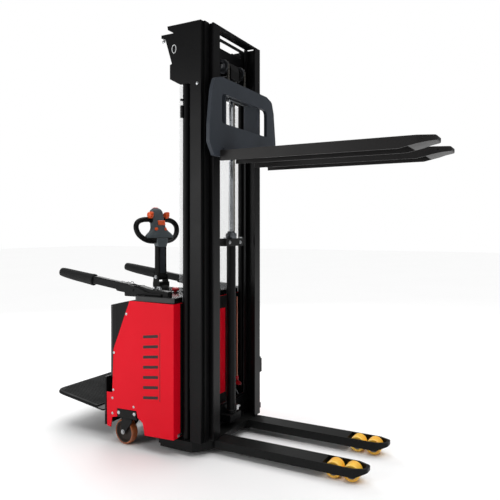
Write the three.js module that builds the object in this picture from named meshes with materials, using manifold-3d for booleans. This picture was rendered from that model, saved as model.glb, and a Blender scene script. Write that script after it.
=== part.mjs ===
// Walkie stacker with a three-stage mast, a full-free-lift carriage, side arms and a folding platform.
// Millimetres, +Z up. The dimensions below are stated with X = 0 on the mast's front face and forks
// towards +X; every finished solid is shifted so the origin is the middle of the footprint.
import * as THREE from 'three';
import { mergeVertices } from 'three/addons/utils/BufferGeometryUtils.js';
import Module from 'manifold-3d';

const wasm = await Module();
wasm.setup();

// ---- Driving dimensions ---------------------------------------------------------------------
const GAP = 0.3;                 // air between neighbouring pieces
const FOOTPRINT_MIDDLE = 14.5;    // middle of the footprint, measured from the mast's front face
const RUNNING = 0.5;             // radial air round a turning shaft

const MAST_TOP = 2305;
const BASE_TOP = 78;
const RAIL_FOOT = BASE_TOP + GAP;

const OUTER = { back: -105, front: -38, side: 332, web: 10, flange: 10, backLip: 285, frontLip: 300 };
const MID = {
  back: -93.7, front: -27, flange: 10.2, webIn: 291, webOut: 299,
  backIn: 270, backOut: 321.5, frontIn: 268, frontOut: 309,
};
const INNER = {
  back: -83, front: 0, flange: 11, webIn: 250, webOut: 258,
  backIn: 215, backOut: 290, frontIn: 201, frontOut: 267,
};

const LEG = {
  inner: 131, outer: 241, bottom: 30, top: 74, skin: 6,
  neck: 758, tip: 819, tipInset: 26, tipBottom: 56,
};
const ROLLER = { radius: 41, inner: 152, outer: 220, axle: 9, rearX: 650, frontX: 740 };
const LEG_SLOT = { start: 600, neck: 752, end: 804, inner: 139, outer: 233 };

const BODY = { half: 390, skin: 4, front: -171, back: -640, deckTop: 224, deckBottom: 212 };
const COVER = { bottom: 812.3, top: 838, back: -636, step: -445, tongueHalf: 120, skin: 4 };
const PANEL_BOTTOM = 93;
const REAR_PLATE = { back: -652, front: -641, bottom: 100, top: 371 };

const STEER_AXIS_X = -545;
const STEER_REST = -12;          // degrees the tiller stands turned at rest
const TILLER_PIVOT = { x: -556, z: 913 };
const HEAD = {
  back: -588, front: -536, grip: 180, foot: 1118, top: 1341,
  lean: -12, leanX: -556, leanZ: 1125,
};
const THUMB = { z: 1294, radius: 20, shaft: 5, inner: 55, outer: 77 };
const DRIVE_HOLE = 84;           // radius of the hole in the deck that the gearbox turns in
const DRIVE_WHEEL = { radius: 92, left: 33, right: -37, axle: 15 };

const CASTER = {
  swivelX: -490, swivelY: 345, trail: 42, turn: -6, radius: 70, halfWidth: 22,
  topPlate: 158, forkTop: 157.7, axle: 6,
};

const CYLINDER = { x: -48, radius: 26, bore: 17, rod: 14, bottom: 150.3, top: 1193 };
const SIDE_CYLINDER = { x: -150, y: 300, radius: 20, bore: 13, rod: 11, top: 2195, rodTop: 2269.7 };
const SHEAVE = { x: -48, z: 2120, y: 92, radius: 30, rim: 33, halfWidth: 8, axle: 8 };
const CHAIN = { thickness: 10, halfWidth: 6, anchorHalf: 104, rearAnchor: 1155.3, frontAnchor: 1955 };

const CARRIAGE = { back: 30, front: 50, half: 385, bottom: 1587, centreBottom: 1606, top: 2010 };
const WINDOW = { half: 262, bottom: 1766, top: 1925, radius: 34 };
const SIDE_PLATE = { inner: 184, outer: 197, back: -68, bottom: 1612, top: 1990 };

const GUIDE = { x: -42.5, low: 1662, high: 1918, radius: 29, pin: 10, inner: 204, outer: 243 };

const FORK = {
  inner: 110, outer: 280, top: 1620, bottom: 1565,
  taper: 980, neck: 1060, tip: 1142, tipHalf: 52, wall: 6, deck: 8,
};

const PLATFORM = { half: 330, front: -720, back: -1118, pivotX: -690, pivotZ: 138, tilt: 8.4 };
const MAT = { front: -773, thickness: 9 };

const ARM = { y: 297, pivotX: -500, pivotZ: 864, pin: 8, tilt: 7.8, tube: 21, endX: -1092, gripStart: -815 };

// ---- Solids -----------------------------------------------------------------------------------
function solidOf(geometry) {
  const bare = geometry.index ? geometry.toNonIndexed() : geometry.clone();
  bare.deleteAttribute('normal');
  bare.deleteAttribute('uv');
  const welded = mergeVertices(bare, 1e-4);
  const mesh = new wasm.Mesh({
    numProp: 3,
    vertProperties: new Float32Array(welded.attributes.position.array),
    triVerts: new Uint32Array(welded.index.array),
  });
  return new wasm.Manifold(mesh);
}

function block(x0, x1, y0, y1, z0, z1) {
  const shape = new THREE.BoxGeometry(Math.abs(x1 - x0), Math.abs(y1 - y0), Math.abs(z1 - z0));
  shape.translate((x0 + x1) / 2, (y0 + y1) / 2, (z0 + z1) / 2);
  return solidOf(shape);
}

function outline(points) {
  return new THREE.Shape(points.map(([u, v]) => new THREE.Vector2(u, v)));
}

// Corner points given as [u, v, radius] become arcs; a point without a radius stays sharp.
function rounded(points, steps = 4) {
  const out = [];
  points.forEach(([u, v, radius = 0], i) => {
    if (!radius) {
      out.push([u, v]);
      return;
    }
    const before = points[(i + points.length - 1) % points.length];
    const after = points[(i + 1) % points.length];
    const corner = new THREE.Vector2(u, v);
    const a = new THREE.Vector2(before[0], before[1]).sub(corner).normalize();
    const b = new THREE.Vector2(after[0], after[1]).sub(corner).normalize();
    const half = Math.acos(THREE.MathUtils.clamp(a.dot(b), -1, 1)) / 2;
    const reach = radius / Math.tan(half);
    const start = corner.clone().addScaledVector(a, reach);
    const end = corner.clone().addScaledVector(b, reach);
    const curve = new THREE.QuadraticBezierCurve(start, corner, end);
    curve.getPoints(steps).forEach((p) => out.push([p.x, p.y]));
  });
  return out;
}

// Outline in plan, raised from z0 to z1.
function planPrism(points, z0, z1) {
  const shape = new THREE.ExtrudeGeometry(outline(points), { depth: z1 - z0, bevelEnabled: false });
  shape.translate(0, 0, z0);
  return solidOf(shape);
}

// Outline of X and Z, from y0 to y1.
function sidePrism(points, y0, y1) {
  const depth = Math.abs(y1 - y0);
  const shape = new THREE.ExtrudeGeometry(outline(points), { depth, bevelEnabled: false });
  shape.rotateX(Math.PI / 2);
  shape.translate(0, Math.max(y0, y1), 0);
  return solidOf(shape);
}

// Outline of Y and Z, from x0 to x1.
function frontPrism(points, x0, x1) {
  const shape = new THREE.ExtrudeGeometry(outline(points), { depth: x1 - x0, bevelEnabled: false });
  const basis = new THREE.Matrix4().makeBasis(
    new THREE.Vector3(0, 1, 0),
    new THREE.Vector3(0, 0, 1),
    new THREE.Vector3(1, 0, 0),
  );
  shape.applyMatrix4(basis);
  shape.translate(x0, 0, 0);
  return solidOf(shape);
}

function upright(radius, x, y, z0, z1, sides = 32) {
  const shape = new THREE.CylinderGeometry(radius, radius, z1 - z0, sides);
  shape.rotateX(Math.PI / 2);
  shape.translate(x, y, (z0 + z1) / 2);
  return solidOf(shape);
}

// Cylinder along Y.
function crossPin(radius, x, z, y0, y1, sides = 24) {
  const shape = new THREE.CylinderGeometry(radius, radius, Math.abs(y1 - y0), sides);
  shape.translate(x, (y0 + y1) / 2, z);
  return solidOf(shape);
}

// Cylinder along X.
function lengthPin(radius, y, z, x0, x1, sides = 24) {
  const shape = new THREE.CylinderGeometry(radius, radius, Math.abs(x1 - x0), sides);
  shape.rotateZ(Math.PI / 2);
  shape.translate((x0 + x1) / 2, y, z);
  return solidOf(shape);
}

// Body of revolution about a cross axis; profile is [radius, distance along the axis].
function crossTurned(profile, x, y, z, sides = 40) {
  const points = profile.map(([r, h]) => new THREE.Vector2(r, h));
  points.push(points[0].clone());
  const shape = new THREE.LatheGeometry(points, sides);
  shape.translate(x, y, z);
  return solidOf(shape);
}

// Solid of revolution about the vertical; profile starts and ends on the axis.
function turned(profile, x, y, sides = 32) {
  const points = profile.map(([r, h]) => new THREE.Vector2(r, h));
  const shape = new THREE.LatheGeometry(points, sides);
  shape.rotateX(Math.PI / 2);
  shape.translate(x, y, 0);
  return solidOf(shape);
}

function turnedAbout(solid, axis, degrees, x, y, z) {
  const spin = new THREE.Matrix4().makeRotationAxis(axis, THREE.MathUtils.degToRad(degrees));
  const place = new THREE.Matrix4().makeTranslation(x, y, z);
  const back = new THREE.Matrix4().makeTranslation(-x, -y, -z);
  return solid.transform(place.multiply(spin).multiply(back).elements);
}

const ACROSS = new THREE.Vector3(0, 1, 0);
const UP = new THREE.Vector3(0, 0, 1);

function union(...solids) {
  return solids.reduce((whole, piece) => whole.add(piece));
}

// ---- Materials --------------------------------------------------------------------------------
function finish(color, roughness, metalness) {
  return () => new THREE.MeshStandardMaterial({ color, roughness, metalness });
}

const mastPaint = finish(0x1c1c1d, 0.42, 0.35);
const carriagePaint = finish(0x3b4047, 0.4, 0.4);
const forkPaint = finish(0x34312f, 0.45, 0.35);
const framePaint = finish(0x1e1f20, 0.5, 0.3);
const redPaint = finish(0xd8122a, 0.32, 0.1);
const blackPlastic = finish(0x17181a, 0.35, 0.0);
const glossCover = finish(0x0e0f11, 0.12, 0.0);
const tillerPlastic = finish(0x4a5452, 0.5, 0.0);
const orangePlastic = finish(0xee5d1c, 0.4, 0.0);
const redPlastic = finish(0xc4121f, 0.35, 0.0);
const amberTyre = finish(0xf2b03a, 0.45, 0.0);
const caramelTyre = finish(0xb96a3c, 0.5, 0.0);
const rubber = finish(0x2b2c2d, 0.85, 0.0);
const chrome = finish(0xc9cdd1, 0.12, 1.0);
const chainSteel = finish(0x6b6d70, 0.4, 0.9);
const steel = finish(0x55585c, 0.4, 0.8);
const clearSheet = finish(0xdfe6ea, 0.08, 0.0);
const batteryCase = finish(0x2f3336, 0.6, 0.0);

// ---- Assembly ---------------------------------------------------------------------------------
const stacker = new THREE.Group();
stacker.name = 'walkie_stacker';

function add(name, solid, material) {
  const data = solid.getMesh();
  const shape = new THREE.BufferGeometry();
  shape.setAttribute('position', new THREE.BufferAttribute(new Float32Array(data.vertProperties), 3));
  shape.setIndex(new THREE.BufferAttribute(new Uint32Array(data.triVerts), 1));
  shape.translate(-FOOTPRINT_MIDDLE, 0, 0);
  const flat = shape.toNonIndexed();
  flat.computeVertexNormals();
  const mesh = new THREE.Mesh(flat, material());
  mesh.name = name;
  stacker.add(mesh);
}

const SIDES = [['left', 1], ['right', -1]];

function mirrored(points, side) {
  return points.map(([x, y, r]) => [x, y * side, r]);
}

// ---- Chassis ----------------------------------------------------------------------------------
function baseFrame() {
  const slabPlan = [[-300, -335], [-94, -335], [-10, -212], [-10, 212], [-94, 335], [-300, 335]];
  const slab = planPrism(slabPlan, 24, BASE_TOP).subtract(block(-110, 5, -125, 125, 20, 48));
  const bulkhead = block(-310, -300, -335, 335, 40, BODY.deckTop);
  const deck = block(-632, -300, -375, 375, BODY.deckBottom, BODY.deckTop);
  const tie = block(REAR_PLATE.front, -612, -300, 300, 170, BODY.deckTop);
  const driveHole = upright(DRIVE_HOLE, STEER_AXIS_X, 0, 150, BODY.deckTop + 5, 48);
  const { back, front, bottom, top } = REAR_PLATE;
  const rearPlate = block(back, front, -386, 386, bottom, top);
  let frame = union(slab, bulkhead, deck, tie).subtract(driveHole).add(rearPlate);
  for (const [, side] of SIDES) {
    const casterPlate = block(-556, -418, side * 296, side * 389, CASTER.topPlate, CASTER.topPlate + 10);
    const casterWeb = block(-556, -418, side * 296, side * 304, CASTER.topPlate, BODY.deckBottom);
    const casterFace = block(-556, -424, side * 381, side * 389, CASTER.topPlate, 205);
    const lug = block(-706, back, side * 292, side * 322, 120, 161);
    const pin = crossPin(7, PLATFORM.pivotX, PLATFORM.pivotZ, side * 246, side * 300);
    frame = union(frame, casterPlate, casterWeb, casterFace, lug, pin);
  }
  return frame;
}

function leg(side) {
  const { inner, outer, bottom, top, neck, tip, tipInset, tipBottom, skin } = LEG;
  const plan = [
    [-9.7, inner], [neck, inner, 20], [tip, inner + tipInset, 24], [tip, outer - tipInset, 24],
    [neck, outer, 20], [-9.7, outer],
  ];
  const tray = block(-20, 584, side * (inner + skin), side * (outer - skin), 20, top - skin);
  const slot = [
    [LEG_SLOT.start, LEG_SLOT.inner], [LEG_SLOT.neck, LEG_SLOT.inner, 16],
    [LEG_SLOT.end, LEG_SLOT.inner + tipInset, 20], [LEG_SLOT.end, LEG_SLOT.outer - tipInset, 20],
    [LEG_SLOT.neck, LEG_SLOT.outer, 16], [LEG_SLOT.start, LEG_SLOT.outer],
  ];
  const rise = [
    [neck, bottom - 10], [neck, bottom], [tip, tipBottom], [tip + 20, tipBottom], [tip + 20, bottom - 10],
  ];
  let beam = planPrism(rounded(mirrored(plan, side)), bottom, top)
    .subtract(tray)
    .subtract(planPrism(rounded(mirrored(slot, side)), bottom - 5, top + 5))
    .subtract(sidePrism(rise, side * (inner - 5), side * (outer + 5)));
  for (const x of [ROLLER.rearX, ROLLER.frontX]) {
    const axle = crossPin(ROLLER.axle, x, ROLLER.radius, side * (inner + 5), side * (outer - 5));
    beam = beam.add(axle);
  }
  return beam;
}

function loadRoller(side, x) {
  const middle = side * (ROLLER.inner + ROLLER.outer) / 2;
  const half = (ROLLER.outer - ROLLER.inner) / 2;
  const bore = ROLLER.axle + RUNNING;
  const edge = 5;
  const profile = [
    [bore, -half], [ROLLER.radius - edge, -half], [ROLLER.radius, -half + edge],
    [ROLLER.radius, half - edge], [ROLLER.radius - edge, half], [bore, half],
  ];
  return crossTurned(profile, x, middle, ROLLER.radius, 28);
}

add('base_frame', baseFrame(), framePaint);
for (const [word, side] of SIDES) {
  add(`leg_${word}`, leg(side), framePaint);
  add(`load_roller_${word}_rear`, loadRoller(side, ROLLER.rearX), amberTyre);
  add(`load_roller_${word}_front`, loadRoller(side, ROLLER.frontX), amberTyre);
}

// ---- Mast rails -------------------------------------------------------------------------------
function outerRail(side) {
  const o = OUTER;
  const plan = [
    [o.back, o.side], [o.front, o.side], [o.front, o.frontLip], [o.front - o.flange, o.frontLip],
    [o.front - o.flange, o.side - o.web], [o.back + o.flange, o.side - o.web],
    [o.back + o.flange, o.backLip], [o.back, o.backLip],
  ];
  return planPrism(mirrored(plan, side), RAIL_FOOT, MAST_TOP);
}

// Rail of I section, as both moving stages use.
function beamRail(r, side) {
  const plan = [
    [r.back, r.backIn], [r.back, r.backOut], [r.back + r.flange, r.backOut],
    [r.back + r.flange, r.webOut], [r.front - r.flange, r.webOut], [r.front - r.flange, r.frontOut],
    [r.front, r.frontOut], [r.front, r.frontIn], [r.front - r.flange, r.frontIn],
    [r.front - r.flange, r.webIn], [r.back + r.flange, r.webIn], [r.back + r.flange, r.backIn],
  ];
  return planPrism(mirrored(plan, side), RAIL_FOOT, MAST_TOP);
}

// Rear head of the fixed mast: two shaped side plates and the cross members between them.
function outerCrossbeam() {
  const outside = OUTER.side - GAP;
  const sideProfile = [
    [-105.3, 2304.7], [-255, 2304.7], [-251, 2286], [-211, 2262], [-295, 2262], [-295, 2245],
    [-268, 2235], [-225, 2098], [-238, 2094], [-238, 2016], [-172, 1980], [-105.3, 1980],
  ];
  const shelf = block(-295, -215, -outside, outside, 2245, 2262);
  const back = sidePrism([[-268, 2235], [-225, 2098], [-216, 2098], [-259, 2240]], -outside, outside);
  const sill = block(-238, -227, -outside, outside, 2016, 2094);
  const lid = [[-255, 2304.7], [-180, 2304.7], [-180, 2284], [-251, 2284]];
  let frame = union(shelf, back, sill);
  for (const [, side] of SIDES) {
    frame = frame.add(sidePrism(sideProfile, side * 321, side * outside));
    frame = frame.add(sidePrism(lid, side * 240, side * outside));
  }
  return frame;
}

// Top tie of the middle stage, with the two ears the side rods push on.
function midCrossbeam() {
  const slot = rounded([[-198, 2243, 18], [198, 2243, 18], [198, 2286, 18], [-198, 2286, 18]]);
  let tie = block(-104.5, -94, -284, 284, 2188, 2300).subtract(frontPrism(slot, -110, -90));
  for (const [, side] of SIDES) {
    tie = tie.add(block(-168, -106.3, side * 240, side * 316, 2270, 2300));
    tie = tie.add(block(-107, -94, side * 240, side * 284, 2270, 2300));
  }
  return tie;
}

// Flat tie across the top of the inner stage.
function innerTopBeam() {
  const half = INNER.frontIn - GAP;
  return block(-60, -GAP, -half, half, MAST_TOP - 12, MAST_TOP);
}

function innerFootBeam() {
  const plate = block(-91.7, INNER.back - GAP, -268, 268, 90, 190);
  const shelf = block(INNER.back - 2, -18, -60, 60, 110, 150);
  return plate.add(shelf);
}

for (const [word, side] of SIDES) {
  add(`outer_rail_${word}`, outerRail(side), mastPaint);
  add(`mid_rail_${word}`, beamRail(MID, side), mastPaint);
  add(`inner_rail_${word}`, beamRail(INNER, side), mastPaint);
}
add('outer_crossbeam', outerCrossbeam(), mastPaint);
add('mid_crossbeam', midCrossbeam(), mastPaint);
add('mid_foot_beam', block(-104.5, -94, -284, 284, 90, 200), mastPaint);
add('inner_top_beam', innerTopBeam(), mastPaint);
add('inner_foot_beam', innerFootBeam(), mastPaint);
add('mast_guard', block(-176, -172, -331, 331, 845, 1975), clearSheet);

// ---- Hydraulics -------------------------------------------------------------------------------
function sideCylinder(side) {
  const { x, y, radius, bore, top } = SIDE_CYLINDER;
  return upright(radius, x, side * y, RAIL_FOOT, top)
    .subtract(upright(bore, x, side * y, 96, top + 5, 20));
}

function sideRod(side) {
  const { x, y, rod, rodTop } = SIDE_CYLINDER;
  return upright(rod, x, side * y, 320, rodTop, 20);
}

// Free-lift cylinder with the collar that holds the rear ends of the chains.
function freeLiftCylinder() {
  const { x, radius, bore, bottom, top } = CYLINDER;
  const barrel = upright(radius, x, 0, bottom, top);
  const gland = upright(radius + 4, x, 0, top - 40, top);
  const collar = block(-88, -22, -CHAIN.anchorHalf, CHAIN.anchorHalf, 1110, CHAIN.rearAnchor - GAP);
  return union(barrel, gland, collar).subtract(upright(bore, x, 0, 165, top + 5, 24));
}

function crosshead() {
  const { x, rod } = CYLINDER;
  const piston = upright(rod, x, 0, 940, 2065, 24);
  const headOutline = rounded([[-74, 2058, 6], [-22, 2058, 6], [-22, 2152, 12], [-74, 2152, 12]]);
  const head = sidePrism(headOutline, -74, 74);
  const axle = crossPin(SHEAVE.axle, SHEAVE.x, SHEAVE.z, -110, 110);
  return union(piston, head, axle);
}

function sheave(side) {
  const { x, z, y, radius, rim, halfWidth, axle } = SHEAVE;
  const bore = axle + RUNNING;
  const profile = [
    [bore, -halfWidth - 4], [rim - 4, -halfWidth - 4], [rim - 4, -halfWidth], [radius - 0.5, -halfWidth],
    [radius - 0.5, halfWidth], [rim - 4, halfWidth], [rim - 4, halfWidth + 4], [bore, halfWidth + 4],
  ];
  return crossTurned(profile, x, side * y, z, 24);
}

// The two chain runs that hang from the sheaves to the carriage, with their anchor bar.
function frontChains() {
  const run = SHEAVE.x + SHEAVE.radius;
  const { thickness, halfWidth, anchorHalf, frontAnchor } = CHAIN;
  let chains = block(run, 2.7, -anchorHalf, anchorHalf, frontAnchor - 20, frontAnchor);
  for (const [, side] of SIDES) {
    const inner = side * (SHEAVE.y - halfWidth);
    const outer = side * (SHEAVE.y + halfWidth);
    chains = chains.add(block(run, run + thickness, inner, outer, frontAnchor - 5, SHEAVE.z - GAP));
  }
  return chains;
}

// The two chain runs that rise from the collar and pass over the sheaves, with their anchor bar.
function rearChains() {
  const { x, z, y, radius } = SHEAVE;
  const run = x - radius - CHAIN.thickness;
  const outerRadius = radius + CHAIN.thickness;
  const half = CHAIN.anchorHalf;
  let chains = block(run, run + 9, -half, half, CHAIN.rearAnchor, CHAIN.rearAnchor + 20);
  for (const [, side] of SIDES) {
    const inner = side * (y - CHAIN.halfWidth);
    const outer = side * (y + CHAIN.halfWidth);
    const wrap = crossPin(outerRadius, x, z, inner, outer, 28)
      .subtract(crossPin(radius, x, z, inner - side, outer + side, 28))
      .subtract(block(x - 60, x + 60, inner - side, outer + side, z - 60, z));
    const riser = block(run, run + CHAIN.thickness, inner, outer, CHAIN.rearAnchor + 5, z + 1);
    chains = union(chains, wrap, riser);
  }
  return chains;
}

for (const [word, side] of SIDES) {
  add(`side_cylinder_${word}`, sideCylinder(side), mastPaint);
  add(`side_rod_${word}`, sideRod(side), chrome);
  add(`sheave_${word}`, sheave(side), steel);
}
add('free_lift_cylinder', freeLiftCylinder(), mastPaint);
add('crosshead', crosshead(), chrome);
add('lift_chains_front', frontChains(), chainSteel);
add('lift_chains_rear', rearChains(), chainSteel);

// ---- Carriage and forks -----------------------------------------------------------------------
function carriagePlate() {
  const { half, bottom, centreBottom, top, back, front } = CARRIAGE;
  const right = [
    [250, centreBottom], [262, bottom], [338, bottom, 12], [half, 1652, 30], [half - 2, 1745],
    [357, 1925, 60], [330, top - 20, 30], [262, top, 30],
  ];
  const left = right.map(([y, z, r]) => [-y, z, r]).reverse();
  const w = WINDOW;
  const window = [
    [-w.half, w.bottom, 20], [w.half, w.bottom, 12], [w.half, w.top, w.radius], [-w.half, w.top, w.radius],
  ];
  return frontPrism(rounded([...right, ...left]), back, front)
    .subtract(frontPrism(rounded(window), back - 5, front + 5));
}

// Side plates with their rollers, tied by two bars behind the plate.
function carriageFrame() {
  const { inner, outer, back, bottom, top } = SIDE_PLATE;
  const front = CARRIAGE.back - GAP;
  let frame = union(
    block(3, front, -outer, outer, 1640, 1740),
    block(3, front, -outer, outer, 1935, top),
  );
  const profile = rounded([
    [back, bottom, 20], [front, bottom], [front, top], [-20, top, 20], [back, top - 40, 20],
  ]);
  for (const [, side] of SIDES) {
    frame = frame.add(sidePrism(profile, side * inner, side * outer));
    for (const z of [GUIDE.low, GUIDE.high]) {
      frame = frame.add(crossPin(GUIDE.pin, GUIDE.x, z, side * (inner + 4), side * (GUIDE.outer - 3)));
      frame = frame.add(crossPin(GUIDE.radius, GUIDE.x, z, side * GUIDE.inner, side * GUIDE.outer, 20));
    }
  }
  return frame;
}

// Fork of inverted-U section, open at the heel so it drops over the leg, with a low, rounded tip.
function fork(side) {
  const { inner, outer, top, bottom, taper, neck, tip, tipHalf, wall, deck } = FORK;
  const root = CARRIAGE.front + GAP;
  const middle = (inner + outer) / 2;
  const plan = [
    [root, inner], [neck, inner], [tip, middle - tipHalf, 26], [tip, middle + tipHalf, 26],
    [neck, outer], [root, outer],
  ];
  const profile = [
    [root, bottom], [taper, bottom], [taper + 115, top - 30], [tip, top - 24, 8], [tip, top, 10], [root, top],
  ];
  const body = planPrism(rounded(mirrored(plan, side)), bottom - 5, top)
    .intersect(sidePrism(rounded(profile), side * inner, side * outer));
  const under = top - deck;
  const hollow = [
    [root - 5, bottom - 10], [taper, bottom - 10], [taper + 105, under - 8],
    [taper + 80, under], [root - 5, under],
  ];
  return body.subtract(sidePrism(hollow, side * (inner + wall), side * (outer - wall)));
}

add('carriage_plate', carriagePlate(), carriagePaint);
add('carriage_frame', carriageFrame(), carriagePaint);
for (const [word, side] of SIDES) {
  add(`fork_${word}`, fork(side), forkPaint);
}

// ---- Body covers ------------------------------------------------------------------------------
// Painted side with the caster notch cut in its lower edge, folded round the front corner.
function sidePanel(side) {
  const profile = [
    [BODY.front, 808], [-469, 811], [-584, 534], [-594, 289], [-634, 288.7], [-631, PANEL_BOTTOM + 5],
    [-604, PANEL_BOTTOM + 2], [-596, 150], [-559, 158], [-559, 206], [-421, 210], [-412, 174],
    [-377, 151], [-363, 86], [BODY.front, PANEL_BOTTOM],
  ];
  const sheet = sidePrism(profile, side * (BODY.half - BODY.skin), side * BODY.half);
  const fold = block(BODY.front - BODY.skin, BODY.front, side * GAP, side * BODY.half, PANEL_BOTTOM, 808);
  return sheet.add(fold);
}

function rearCover() {
  const half = BODY.half - BODY.skin - GAP;
  const { back, skin } = BODY;
  const bottom = REAR_PLATE.top + GAP;
  const front = -330;
  const plan = [[front, -half], [back, -half, 70], [back, half, 70], [front, half]];
  const inside = half - skin;
  const innerPlan = [
    [front + 5, -inside], [back + skin, -inside, 68], [back + skin, inside, 68], [front + 5, inside],
  ];
  const slope = sidePrism([[-700, 759], [-469, 811], [-320, 811], [-320, 900], [-700, 900]], -500, 500);
  const underside = sidePrism([[-700, 755], [-469, 807], [-320, 807], [-320, 300], [-700, 300]], -500, 500);
  const hollow = planPrism(rounded(innerPlan), bottom - 5, 815).intersect(underside);
  return planPrism(rounded(plan), bottom, 815)
    .subtract(slope)
    .subtract(hollow)
    .subtract(upright(40, STEER_AXIS_X, 0, 700, 900));
}

// Glossy lid: full width in front, a narrow tongue behind round the tiller's foot.
function topCover() {
  const { bottom, top, back, step, tongueHalf, skin } = COVER;
  const half = BODY.half - BODY.skin - GAP;
  const front = BODY.front - BODY.skin - GAP;
  function plan(inset) {
    return rounded([
      [front - inset, -half + inset, 20], [front - inset, half - inset, 20], [step + inset, half - inset, 30],
      [step + inset, tongueHalf - inset, 12], [back + inset, tongueHalf - inset, 40],
      [back + inset, -tongueHalf + inset, 40], [step + inset, -tongueHalf + inset, 12],
      [step + inset, -half + inset, 30],
    ]);
  }
  let cover = planPrism(plan(0), bottom, top).subtract(planPrism(plan(skin), bottom - 5, top - skin));
  cover = cover.subtract(upright(38, STEER_AXIS_X, 0, 800, 850));
  cover = cover.subtract(upright(11.5, -365, -105, 800, 850, 24));
  for (const [, side] of SIDES) {
    cover = cover.subtract(block(-303, -259, side * (ARM.y - 19), side * (ARM.y + 19), 800, 850));
  }
  return cover;
}

for (const [word, side] of SIDES) {
  add(`side_panel_${word}`, sidePanel(side), redPaint);
}
add('rear_cover', rearCover(), blackPlastic);
add('top_cover', topCover(), glossCover);
add('battery', block(-395, -182, -300, 300, BODY.deckTop + GAP, 690), batteryCase);
add('power_unit', union(
  block(-600, -450, 180, 320, BODY.deckTop + GAP, 330),
  upright(62, -525, 250, 325, 520),
), steel);

// ---- Emergency stop ---------------------------------------------------------------------------
function stopButton() {
  const profile = [
    [0, 818], [10.5, 818], [10.5, 845], [19, 845.5], [21, 849], [20, 858], [12, 864], [0, 866],
  ];
  return turned(profile, -365, -105, 20);
}

add('estop_button', stopButton(), redPlastic);

// ---- Casters ----------------------------------------------------------------------------------
function casterFork(side) {
  const { swivelX, swivelY, trail, turn, radius, halfWidth, forkTop, axle } = CASTER;
  const x = swivelX;
  const y = side * swivelY;
  const wheelX = x - trail;
  const head = upright(30, x, y, radius * 2 + 3, forkTop);
  const bridge = block(x - 46, x + 30, y - halfWidth - 7, y + halfWidth + 7, radius * 2 + 3, radius * 2 + 10);
  const pin = crossPin(axle, wheelX, radius, y - halfWidth - 7, y + halfWidth + 7, 20);
  let yoke = union(head, bridge, pin);
  const cheek = rounded([
    [x - 46, radius * 2 + 10], [x - 62, radius - 2, 14], [x - 30, radius - 24, 14], [x + 30, radius * 2 + 10],
  ]);
  for (const [, flank] of SIDES) {
    const inner = y + flank * (halfWidth + 2);
    yoke = yoke.add(sidePrism(cheek, inner, inner + flank * 5));
  }
  return turnedAbout(yoke, UP, turn, x, y, 0);
}

function casterWheel(side) {
  const { swivelX, swivelY, trail, turn, radius, halfWidth, axle } = CASTER;
  const y = side * swivelY;
  const bore = axle + RUNNING;
  const edge = 7;
  const profile = [
    [bore, -halfWidth], [radius - edge, -halfWidth], [radius - 2, -halfWidth + edge - 2],
    [radius, -halfWidth + edge + 4], [radius, halfWidth - edge - 4], [radius - 2, halfWidth - edge + 2],
    [radius - edge, halfWidth], [bore, halfWidth],
  ];
  const wheel = crossTurned(profile, swivelX - trail, y, radius, 28);
  return turnedAbout(wheel, UP, turn, swivelX, y, 0);
}

for (const [word, side] of SIDES) {
  add(`caster_fork_${word}`, casterFork(side), framePaint);
  add(`caster_wheel_${word}`, casterWheel(side), caramelTyre);
}

// ---- Drive and tiller -------------------------------------------------------------------------
function steered(solid) {
  return turnedAbout(solid, UP, STEER_REST, STEER_AXIS_X, 0, 0);
}

// The tiller's head leans back towards the operator.
function leaned(solid) {
  return steered(turnedAbout(solid, ACROSS, HEAD.lean, HEAD.leanX, 0, HEAD.leanZ));
}

function driveUnit() {
  const x = STEER_AXIS_X;
  const turntable = upright(93, x, 0, BODY.deckTop + 2, 244, 48);
  const motor = upright(70, x, 0, 240, 470);
  const gearbox = block(x - 30, x + 30, 38, 74, 50, 240);
  const axle = crossPin(DRIVE_WHEEL.axle, x, DRIVE_WHEEL.radius, DRIVE_WHEEL.right - 6, 50);
  return union(turntable, motor, gearbox, axle);
}

function driveWheel() {
  const { radius, left, right, axle } = DRIVE_WHEEL;
  const bore = axle + RUNNING;
  const profile = [
    [bore, right], [radius - 8, right], [radius, right + 10],
    [radius, left - 10], [radius - 8, left], [bore, left],
  ];
  return crossTurned(profile, STEER_AXIS_X, 0, radius, 32);
}

function tillerFoot() {
  const { x, z } = TILLER_PIVOT;
  const column = upright(25, STEER_AXIS_X, 0, 470 + GAP, 866);
  const clevisBase = block(x - 26, x + 36, -40, 40, 850, 882);
  const pin = crossPin(8, x, z, -40, 40, 20);
  let foot = union(column, clevisBase, pin);
  const cheek = rounded([
    [x - 26, 870], [x + 30, 870], [x + 18, z + 20, 12], [x - 18, z + 20, 12],
  ]);
  for (const [, side] of SIDES) {
    foot = foot.add(sidePrism(cheek, side * 33, side * 40));
  }
  return foot;
}

function tillerShaft() {
  const { x, z } = TILLER_PIVOT;
  const arm = rounded([
    [x - 20, z - 20, 16], [x + 20, z - 20, 16], [x + 17, z + 60],
    [x + 16, HEAD.foot + 1.5], [x - 17, HEAD.foot - 5.5], [x - 18, z + 60],
  ]);
  return sidePrism(arm, -32, 32).subtract(crossPin(8 + RUNNING, x, z, -40, 40, 20));
}

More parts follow.
